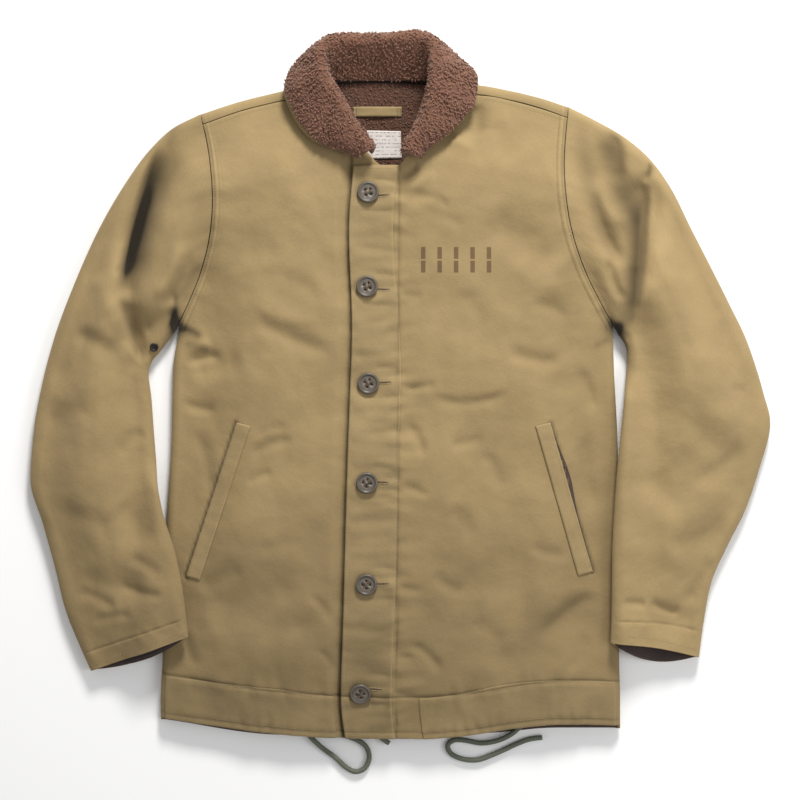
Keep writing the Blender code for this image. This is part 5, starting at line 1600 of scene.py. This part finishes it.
def build_sleeve(side, face):
    """A sleeve, ring by ring, and the knit inside its cuff."""
    ss = graded(SLEEVE_GRID[2], spots=[(0, 0.01, 2), (0.95, 0.02, 1.2), (1, 0.006, 2)])
    outer, inner = ring_points(face, ss, (0, -WALL))
    steps = np.linalg.norm(np.diff(outer, axis=1), axis=-1)
    around = np.concatenate([np.zeros((len(ss), 1)), np.cumsum(steps, axis=1)], 1)
    down = np.cumsum(np.concatenate([[0], np.linalg.norm(np.diff(outer.mean(axis=1), axis=0), axis=-1)]))
    grain = np.stack([around, -np.broadcast_to(down[:, None], around.shape)], -1)
    tone = sleeve_tone(outer[..., 0], outer[..., 1], np.broadcast_to(ss[:, None], around.shape))
    finishes = [FINISH["khaki"], FINISH["inside"]]
    made = shell("cloth_sleeve_" + side, outer, inner, finishes, grain, tone, ring=True)
    stands_for(made, "sleeve_" + side)
    gap = WALL + CUFF_GAP
    outer, inner = ring_points(face, graded(12, CUFF_START, 0.995), (-gap, -gap - CUFF_WALL))
    outer, inner = outer[:, ::2], inner[:, ::2]
    grain = np.stack([outer[..., 0] + outer[..., 2], outer[..., 1]], -1)
    plain = np.ones(outer.shape[:2])
    knit = shell("knit_cuff_" + side, outer, inner, [FINISH["knit"]], grain, plain, ring=True)
    stands_for(knit, "cuff_lining_" + side)
    return made


def tufts(name, points, normals_at, finish, length, width, seed):
    """Many short curled locks of pile, each a bent tapering tube standing on a point."""
    rng = np.random.default_rng(seed)
    count = len(points)
    side = np.cross(normals_at, rng.normal(size=(count, 3)))
    side /= np.linalg.norm(side, axis=1)[:, None]
    other = np.cross(normals_at, side)
    tall = length * rng.uniform(0.75, 1.25, count)
    curl = rng.uniform(0.6, 1.5, count)
    turn = rng.uniform(-1.2, 1.2, count)
    shares = (0.0, 0.42, 0.78)
    widths = (0.95, 1.0, 0.72)
    sides = TUFT_SIDES
    rings, tones = [], []
    rootward = 0.8
    for t, w in zip(shares + (1.0,), widths + (0.0,)):
        lean = curl * t * t
        centre = points + normals_at * ((tall * (t - 0.28 * lean) - rootward))[:, None]
        centre = centre + side * (tall * 0.75 * lean)[:, None]
        centre = centre + other * (tall * 0.35 * turn * t * t)[:, None]
        if w == 0:
            tip = centre
            break
        for k in range(sides):
            a = 2 * math.pi * (k + 0.5) / sides + turn * t
            ring = centre + (side * np.cos(a)[:, None] + other * np.sin(a)[:, None]) * width * w
            rings.append(ring)
            # painted shade darker towards each tuft's root, painted light towards its tip
            tones.append(0.62 + 0.5 * t + 0 * tall)
    per = len(shares) * sides + 1
    vertices = np.stack(rings + [tip], 1).reshape(-1, 3)
    vertices[:, 2] = np.maximum(vertices[:, 2], TUFT_FLOOR)
    tone = np.stack(tones + [1.18 + 0 * tall], 1) * rng.uniform(0.78, 1.2, count)[:, None]
    pattern = []
    for r in range(len(shares) - 1):
        for k in range(sides):
            m = (k + 1) % sides
            pattern.append((r * sides + k, r * sides + m, (r + 1) * sides + m, (r + 1) * sides + k))
    last = (len(shares) - 1) * sides
    caps = [(last + k, last + (k + 1) % sides, per - 1) for k in range(sides)] + [(2, 1, 0), (3, 2, 0)]
    starts = np.arange(count)[:, None, None] * per
    faces = (np.array(pattern)[None] + starts).reshape(-1, 4).tolist()
    faces += (np.array(caps)[None] + starts).reshape(-1, 3).tolist()
    return make(name, vertices, faces, [finish], tone=tone.reshape(-1))


def scatter(face, low_a, high_a, low_b, high_b, spacing, seed, flip=1.0):
    """Points about evenly spread over a face, and its normals there."""
    rng = np.random.default_rng(seed)
    a = np.linspace(low_a, high_a, 300)
    b = np.linspace(low_b, high_b, 90)
    bb, aa = np.meshgrid(b, a, indexing="ij")
    p = face(aa, bb)
    cell = np.linalg.norm(np.cross(p[1:, :-1] - p[:-1, :-1], p[:-1, 1:] - p[:-1, :-1]), axis=-1)
    target = cell / spacing**2
    running = np.cumsum(target.ravel())
    count = int(running[-1])
    picks = np.searchsorted(running, np.arange(count) + rng.uniform(0, 1, count))
    picks = np.clip(picks, 0, target.size - 1)
    i, j = np.unravel_index(picks, target.shape)
    fa = a[j] + (a[1] - a[0]) * rng.uniform(0, 1, count)
    fb = b[i] + (b[1] - b[0]) * rng.uniform(0, 1, count)
    n = normals(face, fa, fb, low_a, high_a, low_b, high_b, 1e-5) * flip
    return face(fa, fb), n


def build_collar():
    """The pile of the shawl collar with its tufts, and the cloth behind it."""
    ss = np.linspace(0, 1, COLLAR_GRID[0])
    qs = graded(COLLAR_GRID[1], spots=[(0.45, 0.2, 0.8), (1, 0.03, 1)])
    outer, inner = panel_points(collar_face, ss, qs, (0, -PILE_WALL))
    q_of = np.broadcast_to(qs[:, None], outer.shape[:2])
    lump = 0.55 * noise(outer[..., 0] + outer[..., 2], outer[..., 1] + 0.6 * outer[..., 2], 7, 71)
    lump = lump + 0.9 * noise(outer[..., 0] + outer[..., 2], outer[..., 1], 22, 72)
    out = (outer - inner) / PILE_WALL
    outer = outer + out * (lump * smoothstep(np.minimum(q_of, 1 - q_of) / 0.06))[..., None]
    tone = 0.72 + 0.1 * noise(outer[..., 0], outer[..., 1], 8, 73)
    grain = np.stack([outer[..., 0], outer[..., 1]], -1)
    made = shell("pile_collar", outer, inner, [FINISH["pile"]], grain, tone)
    stands_for(made, "collar")
    spots, out = scatter(collar_face, 0.004, 0.996, 0.0, 0.995, TUFT_SPACING, 5)
    pile = tufts("pile_collar_tufts", spots, out, FINISH["pile"], TUFT_LENGTH, TUFT_WIDTH, 6)
    depth = PILE_WALL + 2 * SEAM
    inset = 2 / (COLLAR_SAMPLES - 1)
    ss = np.linspace(inset, 1 - inset, COLLAR_GRID[0])
    qs = np.concatenate([graded(40, spots=[(1, 0.05, 1)]), [1.25, 1.5, 1.75, 2.0]])
    outer, inner = panel_points(collar_face, ss, qs, (-depth, -depth - UNDER_WALL), high_b=2.0)
    grain = np.stack([outer[..., 0], outer[..., 1]], -1)
    tone = 0.95 + 0.06 * noise(outer[..., 0], outer[..., 1], 12, 74)
    made = shell("cloth_under_collar", outer, inner, [FINISH["trim"]], grain, tone)
    stands_for(made, "under_collar")


def build_neck():
    """The pile that shows inside the neck, with tufts clear of the loop and the label."""
    us, vs = np.linspace(0, 1, 60), np.linspace(0, 1, 66)
    outer, inner = panel_points(lining_face, us, vs, (0, -LINING_WALL))
    outer[..., 2] += 0.5 * noise(outer[..., 0], outer[..., 1], 8, 75)
    tone = 0.6 + 0.1 * noise(outer[..., 0], outer[..., 1], 8, 76)
    made = shell("pile_neck", outer, inner, [FINISH["neck_pile"]], plan_grain(outer), tone)
    stands_for(made, "neck_lining")
    spots, out = scatter(lining_face, 0.01, 0.99, 0.01, 0.99, LINING_TUFT_SPACING, 8)
    x, y = spots[:, 0], spots[:, 1]
    clear = ~((x > LABEL_X[0] - 1) & (x < LABEL_X[1] + 1) & (y > LABEL_Y[0] - 1) & (y < LABEL_Y[1] + 1))
    clear &= ~((x > LOOP_X[0]) & (x < LOOP_X[0] + 7) & (y > LOOP_Y[0]) & (y < LOOP_Y[1]))
    clear &= ~((x > LOOP_X[1] - 7) & (x < LOOP_X[1]) & (y > LOOP_Y[0]) & (y < LOOP_Y[1]))
    pile = tufts("pile_neck_tufts", spots[clear], out[clear], FINISH["neck_pile"],
                 LINING_TUFT_LENGTH, LINING_TUFT_WIDTH, 9)
    return made


def tree_of(made):
    """A searchable copy of a piece's surface, in garment millimetres."""
    mesh = made.data
    points = np.zeros(len(mesh.vertices) * 3)
    mesh.vertices.foreach_get("co", points)
    points = points.reshape(-1, 3) / MM + SHIFT
    return BVHTree.FromPolygons(points.tolist(), [tuple(p.vertices) for p in mesh.polygons])


def drop_on(tree, x, y, from_z=200.0):
    """Where a line straight down meets a surface, and the surface's normal there."""
    spot, up, _, _ = tree.ray_cast(Vector((x, y, from_z)), Vector((0, 0, -1)))
    if spot is not None and up.z < 0:
        up = -up
    return spot, up


def lozenges(name, places, finish, length, width, height):
    """Small pointed stitches: each place is (centre, direction, up)."""
    shape = [(-0.5, 0, -0.15), (0.5, 0, -0.15), (0, -0.5, 0.25), (0, 0.5, 0.25), (0, 0, 1), (0, 0, -0.4)]
    pattern = [(0, 2, 4), (2, 1, 4), (1, 3, 4), (3, 0, 4), (2, 0, 5), (1, 2, 5), (3, 1, 5), (0, 3, 5)]
    points, faces = [], []
    for centre, direction, up in places:
        across = np.cross(up, direction)
        start = len(points)
        for a, b, c in shape:
            points.append(centre + direction * a * length + across * b * width + up * c * height)
        faces += [tuple(start + k for k in corner) for corner in pattern]
    return make(name, points, faces, [finish])


def along_path(tree, path, pitch, turn=0.0, jitter=0.12, seed=0):
    """Stitch places along a plan path laid on a surface, each turned from the path by an angle."""
    rng = np.random.default_rng(seed)
    path = np.asarray(path, float)
    run = np.concatenate([[0], np.cumsum(np.linalg.norm(np.diff(path, axis=0), axis=1))])
    count = max(int(run[-1] / pitch), 1)
    places = []
    for k in range(count):
        at = (k + 0.5) * pitch
        x, y = np.interp(at, run, path[:, 0]), np.interp(at, run, path[:, 1])
        x1, y1 = np.interp(at + 0.5, run, path[:, 0]), np.interp(at + 0.5, run, path[:, 1])
        x0, y0 = np.interp(at - 0.5, run, path[:, 0]), np.interp(at - 0.5, run, path[:, 1])
        if math.hypot(x1 - x0, y1 - y0) < 1e-6:
            continue
        spot, up = drop_on(tree, x, y)
        if spot is None or up.z < 0.25:
            continue
        angle = math.atan2(y1 - y0, x1 - x0) + turn + rng.normal(0, jitter)
        up = np.array(up)
        direction = np.array([math.cos(angle), math.sin(angle), 0.0])
        direction -= up * (direction @ up)
        direction /= np.linalg.norm(direction)
        places.append((np.array(spot) + up * 0.05, direction, up))
    return places


def sewn(name, tree, paths, finish=None, pitch=STITCH_PITCH, turn=0.0, length=STITCH_LENGTH):
    """Rows of stitches on a piece."""
    places = []
    for k, path in enumerate(paths):
        places += along_path(tree, path, pitch, turn, seed=k + len(name))
    made = lozenges(name, places, finish or FINISH["thread"], length, STITCH_WIDTH, STITCH_HEIGHT)
    return made


def plan_line(face, us, vs):
    """Plan positions along a line of a face."""
    us, vs = np.broadcast_arrays(np.asarray(us, float), np.asarray(vs, float))
    return face(us, vs)[..., :2]


def armhole_line(shoulder, armpit, inward, start, end):
    """A line beside an armhole, some way into the body."""
    t = np.linspace(start, end, 60)
    line = armhole(shoulder, armpit, ARMHOLE_BOW, t)
    chord = np.array(armpit, float) - np.array(shoulder, float)
    side = math.copysign(1, shoulder[0])
    away = np.array([-side * chord[1], side * chord[0]]) / np.hypot(*chord)
    return line - away * inward


def sew_shell(pieces):
    """Stitch rows of the fronts, the bands, the armholes, the shoulders and the cuffs."""
    up = np.linspace(-6, 616, 200)
    t = np.linspace(0, 1, 60)
    trees = {name: tree_of(made) for name, made in pieces.items()}
    top = float(BAND_EDGE[-1].y) - 3.0
    sewn("thread_band", trees["band"], [
        np.stack([band_edge(up) + 3.4, up], -1),
        np.stack([band_right(up) - 1.6, up], -1),
        [(band_edge(top) + 4, top), (band_right(top) - 2, top)],
        plan_line(front_left, t * 0.13 + 0.01, 0.006),
    ])
    for side, face, first, node_tree, shoulder, armpit in (
        ("left", front_left, 0.215, "front_left", SHOULDER_LEFT, ARMPIT_LEFT),
        ("right", front_right, 0.30, "front_right", SHOULDER_RIGHT, ARMPIT_RIGHT),
    ):
        across = first + (0.972 - first) * t
        sewn("thread_hem_" + side, trees["hem_" + side],
             [plan_line(face, across, 0.067), plan_line(face, across, 0.0115)])
        lines = [armhole_line(shoulder, armpit, row, 0.06, 0.97) for row in ARMHOLE_STITCHES]
        lines.append(plan_line(face, 0.49 + 0.49 * t, 0.9935))
        sewn("thread_front_" + side, trees[node_tree], lines)
    sewn("thread_hem_end", trees["hem_left"],
         [plan_line(front_left, 0.223, 0.005 + 0.06 * t)])
    for side, face in (("left", sleeve_left), ("right", sleeve_right)):
        c = 0.03 + 0.94 * t
        over = np.zeros(c.shape, bool)
        rows = [face(cuff_line(c) + 0.004, c, over)[..., :2], face(cuff_line(c) + 0.036, c, over)[..., :2]]
        sewn("thread_cuff_" + side, trees["sleeve_" + side], rows)
    back_lines = [plan_line(back_face, 0.02 + 0.22 * t, 1.93), plan_line(back_face, 0.76 + 0.22 * t, 1.93)]
    sewn("thread_shoulders", trees["back"], back_lines)
    return trees


def sew_buttonholes(tree):
    """Oval buttonholes edged with close stitches, each with a dark sheet of painted shadow in its slit."""
    places, dark_points, dark_faces = [], [], []
    for k, spot in enumerate(BUTTONS):
        tilt = math.radians((3, -2, 2, -3, 2, -4)[k])
        x0, x1 = spot.x + 7.5, spot.x + 24.5
        y = spot.y - 1.5
        turn = np.linspace(0, 2 * math.pi, 100)
        half = (x1 - x0) / 2
        wide = 1.5 + 0.9 * smoothstep((np.cos(turn) - 0.3) / 0.6)
        ox, oy = half * np.sign(np.cos(turn)) * np.abs(np.cos(turn)) ** 0.7, wide * np.sin(turn)
        px = (x0 + x1) / 2 + ox * math.cos(tilt) - oy * math.sin(tilt)
        py = y + ox * math.sin(tilt) + oy * math.cos(tilt)
        places += along_path(tree, np.stack([px, py], -1), 0.62, math.pi / 2, 0.1, seed=k)
        start = len(dark_points)
        shares = np.linspace(-1, 1, 15)
        for side in (-1, 1):
            for share in shares:
                gap = 0.55 * (1 - share**4) + 0.02
                ax, ay = share * (half - 0.8), side * gap
                qx = (x0 + x1) / 2 + ax * math.cos(tilt) - ay * math.sin(tilt)
                qy = y + ax * math.sin(tilt) + ay * math.cos(tilt)
                ground, up = drop_on(tree, qx, qy)
                dark_points.append(np.array(ground) + np.array(up) * 0.12)
        n = len(shares)
        dark_faces += [(start + i, start + i + 1, start + n + i + 1, start + n + i) for i in range(n - 1)]
    made = lozenges("thread_buttonholes", places, FINISH["thread"], 2.1, 0.5, 0.5)
    # a dark sheet of painted shadow in each slit
    made = make("buttonhole_shadow", dark_points, dark_faces, [FINISH["inside"]])


def disc_with_holes(outline_count, radius, holes, hole_radius, hole_count):
    """Triangles of a round plate with round holes: points, faces, and the holes' first numbers."""
    angles = np.arange(outline_count) * 2 * math.pi / outline_count
    points = [(radius * math.cos(a), radius * math.sin(a)) for a in angles]
    edges = [(i, (i + 1) % outline_count) for i in range(outline_count)]
    starts = []
    for hx, hy in holes:
        start = len(points)
        starts.append(start)
        for i in range(hole_count):
            a = 2 * math.pi * i / hole_count
            points.append((hx + hole_radius * math.cos(a), hy + hole_radius * math.sin(a)))
            edges.append((start + i, start + (i + 1) % hole_count))
    found = delaunay_2d_cdt([Vector(p) for p in points], edges, [], 0, 1e-6)
    faces = []
    for triangle in found[2]:
        mx = sum(found[0][i][0] for i in triangle) / 3
        my = sum(found[0][i][1] for i in triangle) / 3
        if all(math.hypot(mx - hx, my - hy) > hole_radius * 0.9 for hx, hy in holes):
            faces.append([found[3][i][0] for i in triangle])
    return points, faces, starts


def build_button(number, tree, x, y):
    """A four-hole button: rolled rim, groove, sunk plate, real holes and thread over them."""
    count, hole_count = BUTTON_SIDES, HOLE_SIDES
    spread = BUTTON_HOLE_SPREAD
    holes = [(spread * i, spread * j) for i in (-1, 1) for j in (-1, 1)]
    points, faces, tone = [], [], []
    for share, z, shade in BUTTON_PROFILE:
        for i in range(count):
            a = 2 * math.pi * i / count
            points.append((share * BUTTON_RADIUS * math.cos(a), share * BUTTON_RADIUS * math.sin(a), z))
            tone.append(shade)
    for r in range(len(BUTTON_PROFILE) - 1):
        for i in range(count):
            k = (i + 1) % count
            faces.append((r * count + i, r * count + k, (r + 1) * count + k, (r + 1) * count + i))
    hole_starts = []
    last = len(BUTTON_PROFILE) - 1
    for ring, up in ((0, False), (last, True)):
        share, z, shade = BUTTON_PROFILE[ring]
        reach = share * BUTTON_RADIUS
        plate, triangles, starts = disc_with_holes(count, reach, holes, BUTTON_HOLE, hole_count)
        offset = len(points) - count
        points += [(px, py, z) for px, py in plate[count:]]
        # the sunk plate takes the profile's painted light, the underside painted shade
        tone += [shade if up else 0.3] * (len(plate) - count)
        for triangle in triangles:
            ids = [ring * count + i if i < count else offset + i for i in triangle]
            faces.append(ids if up else ids[::-1])
        hole_starts.append([offset + s for s in starts])
    for low, high in zip(*hole_starts):
        for i in range(hole_count):
            k = (i + 1) % hole_count
            faces.append((low + k, low + i, high + i, high + k))
    spots = []
    up = Vector((0, 0, 0))
    for i in range(16):
        a = 2 * math.pi * i / 16
        reach = BUTTON_RADIUS * 0.8
        spot, normal = drop_on(tree, x + reach * math.cos(a), y + reach * math.sin(a))
        if spot is not None:
            spots.append(spot)
            up += normal
    up.normalize()
    rest = sorted((spot - Vector((x, y, 0))).dot(up) for spot in spots)[-3] + 0.2
    turn = Vector((0, 0, 1)).rotation_difference(up).to_matrix()
    turn = turn @ Matrix.Rotation(math.radians(9 * number), 3, "Z")
    base = Vector((x, y, 0)) + up * rest
    placed = [base + turn @ Vector(p) for p in points]
    made = make("button_disc_%d" % number, placed, faces, [FINISH["button"]], tone=tone)
    stands_for(made, "button_%d" % number)
    places = []
    plate = BUTTON_PROFILE[-1].z
    for i in (-1, 1):
        for shift in (-0.45, 0.0, 0.45):
            centre = base + turn @ Vector((spread * i + shift, 0, plate + 0.25))
            places.append((np.array(centre), np.array(turn @ Vector((0, 1, 0))), np.array(up)))
    name = "thread_button_%d" % number
    thread = lozenges(name, places, FINISH["dark_thread"], 2 * spread + 1.6, 0.6, 0.55)


def draped(name, tree, corners, counts, clearance, thickness, finishes, rise=0.0, soft=1.2, tone=1.0):
    """A thin piece with rounded edges laid on a surface inside four plan corners."""
    a, b, c, d = [np.array(corner, float) for corner in corners]
    across, along = counts
    low = np.zeros((along, across, 3))
    for i in range(along):
        for j in range(across):
            v, u = i / (along - 1), j / (across - 1)
            plan = (a * (1 - u) + b * u) * (1 - v) + (d * (1 - u) + c * u) * v
            spot, up = drop_on(tree, plan[0], plan[1])
            arch = rise * math.sin(math.pi * u)
            low[i, j] = (plan[0], plan[1], spot.z + clearance / max(up.z, 0.6) + arch)
    low[..., 2] = smoothed(low[..., 2])
    u, v = np.meshgrid(np.linspace(0, 1, across), np.linspace(0, 1, along))
    wide, tall = np.linalg.norm(b - a), np.linalg.norm(d - a)
    distance = np.minimum(np.minimum(u, 1 - u) * wide, np.minimum(v, 1 - v) * tall)
    top = low.copy()
    top[..., 2] += thickness * (0.3 + 0.7 * roll(distance, soft))
    grain = np.stack([u * wide, v * tall], -1)
    shade = tone * (1 + 0.12 * np.exp(-distance / 1.2))
    return shell(name, top, low, finishes, grain, shade, every=1)


def smoothed(z):
    """Heights softened a little, never below where they were."""
    soft = z.copy()
    for times in range(3):
        padded = np.pad(soft, 1, mode="edge")
        mean = (padded[:-2, 1:-1] + padded[2:, 1:-1] + padded[1:-1, :-2] + padded[1:-1, 2:]) / 4
        soft = np.maximum(z, 0.5 * soft + 0.5 * mean)
    return soft


def build_welts(trees):
    """Each pocket's welt with its stitches, and a sheet of painted shadow in the mouth beside it."""
    for side, w in WELTS.items():
        corners = [(w.top_x, w.top_y), (w.top_x + w.width, w.top_y - 4),
                   (w.bottom_x + w.width, w.bottom_y - 4), (w.bottom_x, w.bottom_y)]
        made = draped("cloth_welt_" + side, trees["front_" + side], corners, (14, 120), 0.45, WELT_WALL,
                      [FINISH["trim"]], soft=1.6, tone=1.0)
        stands_for(made, "pocket_welt_" + side)
        tree = tree_of(made)
        inward = math.copysign(1.7, w.width)
        far = w.width - inward
        lines = [
            [(w.top_x + inward, w.top_y - 3), (w.bottom_x + inward, w.bottom_y + 2)],
            [(w.top_x + far, w.top_y - 6), (w.bottom_x + far, w.bottom_y - 2)],
            [(w.top_x + inward, w.top_y - 2.2), (w.top_x + far, w.top_y - 5.4)],
            [(w.bottom_x + inward, w.bottom_y + 1.4), (w.bottom_x + far, w.bottom_y - 2)],
        ]
        sewn("thread_welt_" + side, tree, lines)
        pocket_mouth_shadow("pocket_shadow_" + side, trees["front_" + side], w)


def pocket_mouth_shadow(name, tree, w):
    """Painted shadow in the pocket's mouth beside a welt: a dark narrow lens, wider where the pocket gapes.
    """
    out = -math.copysign(1, w.width)
    points = []
    shares = np.linspace(0.02, 0.97, 60)
    for share in shares:
        x, y = w.top_x + (w.bottom_x - w.top_x) * share, w.top_y + (w.bottom_y - w.top_y) * share
        gape = 0.9 * math.sin(math.pi * share) ** 0.5
        if w.width < 0:
            gape += 4.2 * math.exp(-(((share - 0.36) / 0.17) ** 2))
        for reach in (-0.8, gape * 0.5, gape):
            spot, _ = drop_on(tree, x + out * reach, y)
            points.append((x + out * reach, y, spot.z + 0.15))
    faces = []
    for i in range(len(shares) - 1):
        for j in range(2):
            faces.append((i * 3 + j, i * 3 + j + 1, i * 3 + j + 4, i * 3 + j + 3))
    made = make(name, points, faces, [FINISH["inside"]])


def build_neck_trim(lining):
    """The locker loop and the label, sewn on the pile of the neck."""
    tree = tree_of(lining)
    (x0, x1), (y0, y1) = LOOP_X, LOOP_Y
    made = draped("cloth_loop", tree, [(x0, y0), (x1, y0), (x1, y1), (x0, y1)], (44, 10), 0.35, 1.0,
                  [FINISH["trim"]], rise=LOOP_RISE, soft=1.4, tone=0.95)
    stands_for(made, "locker_loop")
    over = tree_of(made)
    tacks = [[(x, y0 + 0.8), (x, y1 - 0.8)] for x in (x0 + 1.5, x0 + 4.5, x1 - 1.5, x1 - 4.5)]
    sewn("thread_loop", over, tacks, pitch=0.7, turn=math.pi / 2, length=2.6)
    (x0, x1), (y0, y1) = LABEL_X, LABEL_Y
    corners = [(x0, y0), (x1, y0 + 1), (x1 - 1.0, y1), (x0 + 0.6, y1 + 1)]
    made = draped("tape_label", tree, corners, (36, 28), 0.35, 0.9, [FINISH["label"]],
                  rise=0.5, soft=0.8, tone=1.0)
    stands_for(made, "neck_label")
    over = tree_of(made)
    ring = [(x0 + 1.4, y0 + 1.4), (x1 - 1.4, y0 + 2.2), (x1 - 2.2, y1 - 1.4), (x0 + 2, y1 - 0.6)]
    ring.append(ring[0])
    sewn("thread_label", over, [ring], pitch=2.6, length=1.8)


def build_eyelet(tree):
    """A black ring round a small hole, filled with a dark disc of painted shadow."""
    count, sides = 30, 10
    spot, up = drop_on(tree, EYELET[0], EYELET[1])
    turn = Vector((0, 0, 1)).rotation_difference(up)
    base = spot + up * (EYELET_WIRE + 0.1)
    points, faces = [], []
    for i in range(count):
        a = 2 * math.pi * i / count
        for j in range(sides):
            b = 2 * math.pi * j / sides
            r = EYELET_RADIUS + EYELET_WIRE * math.cos(b)
            away = Vector((r * math.cos(a), r * math.sin(a), EYELET_WIRE * math.sin(b)))
            points.append(base + turn @ away)
            k, m = (i + 1) % count, (j + 1) % sides
            faces.append((i * sides + j, k * sides + j, k * sides + m, i * sides + m))
    made = make("ring_eyelet", points, faces, [FINISH["eyelet"]])
    stands_for(made, "underarm_eyelet")
    # a dark disc of painted shadow in the hole
    points = [spot + up * 0.6]
    for i in range(count):
        a = 2 * math.pi * i / count
        points.append(spot + up * 0.6 + turn @ Vector((math.cos(a), math.sin(a), 0)) * (EYELET_RADIUS - 0.3))
    faces = [(0, 1 + i, 1 + (i + 1) % count) for i in range(count)]
    make("eyelet_hole_shadow", points, faces, [FINISH["inside"]])


def even_points(points, count):
    """Points spaced evenly along a smooth line through a route."""
    route = np.array(points, float)
    padded = np.vstack([2 * route[0] - route[1], route, 2 * route[-1] - route[-2]])
    dense = []
    for i in range(len(route) - 1):
        p0, p1, p2, p3 = padded[i : i + 4]
        for t in np.linspace(0, 1, 16, endpoint=False):
            dense.append(0.5 * (2 * p1 + (p2 - p0) * t + (2 * p0 - 5 * p1 + 4 * p2 - p3) * t**2
                                + (3 * p1 - p0 - 3 * p2 + p3) * t**3))
    dense.append(route[-1])
    dense = np.array(dense)
    length = np.concatenate([[0], np.cumsum(np.linalg.norm(np.diff(dense, axis=0), axis=1))])
    at = np.linspace(0, length[-1], count)
    return np.stack([np.interp(at, length, dense[:, k]) for k in range(3)], -1), length[-1]


def build_cord(side, route):
    """A braided cord: a tube whose surface carries two crossing sets of strands."""
    centres, length = even_points(route, 480)
    sides = 18
    ahead = np.gradient(centres, axis=0)
    ahead /= np.linalg.norm(ahead, axis=1)[:, None]
    across = np.cross(ahead, [0, 0, 1.0])
    across /= np.linalg.norm(across, axis=1)[:, None]
    over = np.cross(across, ahead)
    run = np.linspace(0, length, len(centres))
    points, marks, tone = [], [], []
    for k in range(sides):
        a = 2 * math.pi * k / sides
        one = np.abs(np.sin(3 * a + run * 0.62))
        two = np.abs(np.sin(3 * a - run * 0.62 + 0.4))
        lift = np.maximum(one, two) ** 0.7
        r = CORD_DIAMETER / 2 * (0.86 + 0.15 * lift)
        points.append(centres + (across * math.cos(a) + over * math.sin(a)) * r[:, None])
        marks.append(np.stack([0 * run + a, run], -1))
        # painted shade between the strands and painted light on their crowns
        tone.append(0.55 + 0.5 * lift)
    points = np.stack(points, 1)
    count = len(points) * sides
    faces = quads(len(points), sides, 0, True)
    faces += [tuple(range(sides))[::-1], tuple(range(count - sides, count))]
    made = make("cord_" + side, points.reshape(-1, 3), faces, [FINISH["cord"]],
                np.stack(marks, 1).reshape(-1, 2), np.stack(tone, 1).reshape(-1))
    stands_for(made, "drawcord_" + side)


def strip_spots(low, high, count):
    """Steps across a strip, closer at its edges."""
    return graded(count, low, high, spots=[(low, 0.03, 3), (high, 0.03, 3)])


def build_floor():
    """The floor, just under the jacket."""
    bpy.ops.mesh.primitive_plane_add(size=9.0, location=(0, 0, -0.0004))
    floor = bpy.context.object
    floor.name = "floor"
    floor.data.materials.append(floor_finish())
    return floor


def add_light(light):
    """A round area light that looks at the middle of the jacket."""
    data = bpy.data.lights.new(light.name, "AREA")
    data.shape = "DISK"
    data.size = light.size
    data.energy = light.power
    data.color = light.colour
    made = bpy.data.objects.new(light.name, data)
    bpy.context.scene.collection.objects.link(made)
    made.location = light.place
    made.rotation_euler = (-Vector(light.place)).to_track_quat("-Z", "Y").to_euler()


def build_studio():
    """White surroundings, two lights and the camera."""
    scene = bpy.context.scene
    world = bpy.data.worlds.new("studio")
    scene.world = world
    world.use_nodes = True
    background = world.node_tree.nodes["Background"]
    background.inputs["Color"].default_value = (1.0, 1.0, 1.0, 1)
    background.inputs["Strength"].default_value = WORLD_STRENGTH
    for light in LIGHTS:
        add_light(light)
    data = bpy.data.cameras.new("camera")
    data.lens = CAMERA_LENS
    data.sensor_width = CAMERA_SENSOR
    camera = bpy.data.objects.new("camera", data)
    scene.collection.objects.link(camera)
    camera.location = CAMERA_PLACE
    camera.rotation_euler = (0, 0, 0)
    scene.camera = camera
    scene.view_settings.view_transform = "Standard"
    scene.view_settings.look = "None"
    scene.view_settings.exposure = 0.0


build_floor()
pieces = {}
pieces["front_left"] = build_front("left", front_left, 1.0, FINISH["khaki_stencilled"])
pieces["front_right"] = build_front("right", front_right, -1.0, FINISH["khaki"])
up_rows = front_rows()
band_columns = strip_spots(0, 0.15, BAND_STEPS)
pieces["band"] = strip_on("cloth_band", front_left, band_columns, up_rows, 1.0, BAND_WALL,
                          FINISH["trim"], "front_band")
hem_rows = strip_spots(0, 0.07, HEM_STEPS)
for side, face, first, flip in (("left", front_left, 0.21, 1.0), ("right", front_right, 0.25, -1.0)):
    across = graded(150, first, 0.975, spots=[(first, 0.01, 2), (0.975, 0.01, 2)])
    pieces["hem_" + side] = strip_on("cloth_hem_" + side, face, across, hem_rows, flip, HEM_WALL,
                                     FINISH["trim"], "hem_band_" + side)
pieces["back"] = build_back()
pieces["sleeve_right"] = build_sleeve("right", sleeve_right)
pieces["sleeve_left"] = build_sleeve("left", sleeve_left)
build_collar()
lining = build_neck()
trees = sew_shell(pieces)
sew_buttonholes(trees["band"])
for number, spot in enumerate(BUTTONS, 1):
    build_button(number, trees["band"], spot.x, spot.y)
build_welts(trees)
build_neck_trim(lining)
build_eyelet(trees["sleeve_right"])
build_cord("right", CORD_RIGHT)
build_cord("left", CORD_LEFT)

for cut in CUTS:
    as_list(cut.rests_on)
build_studio()
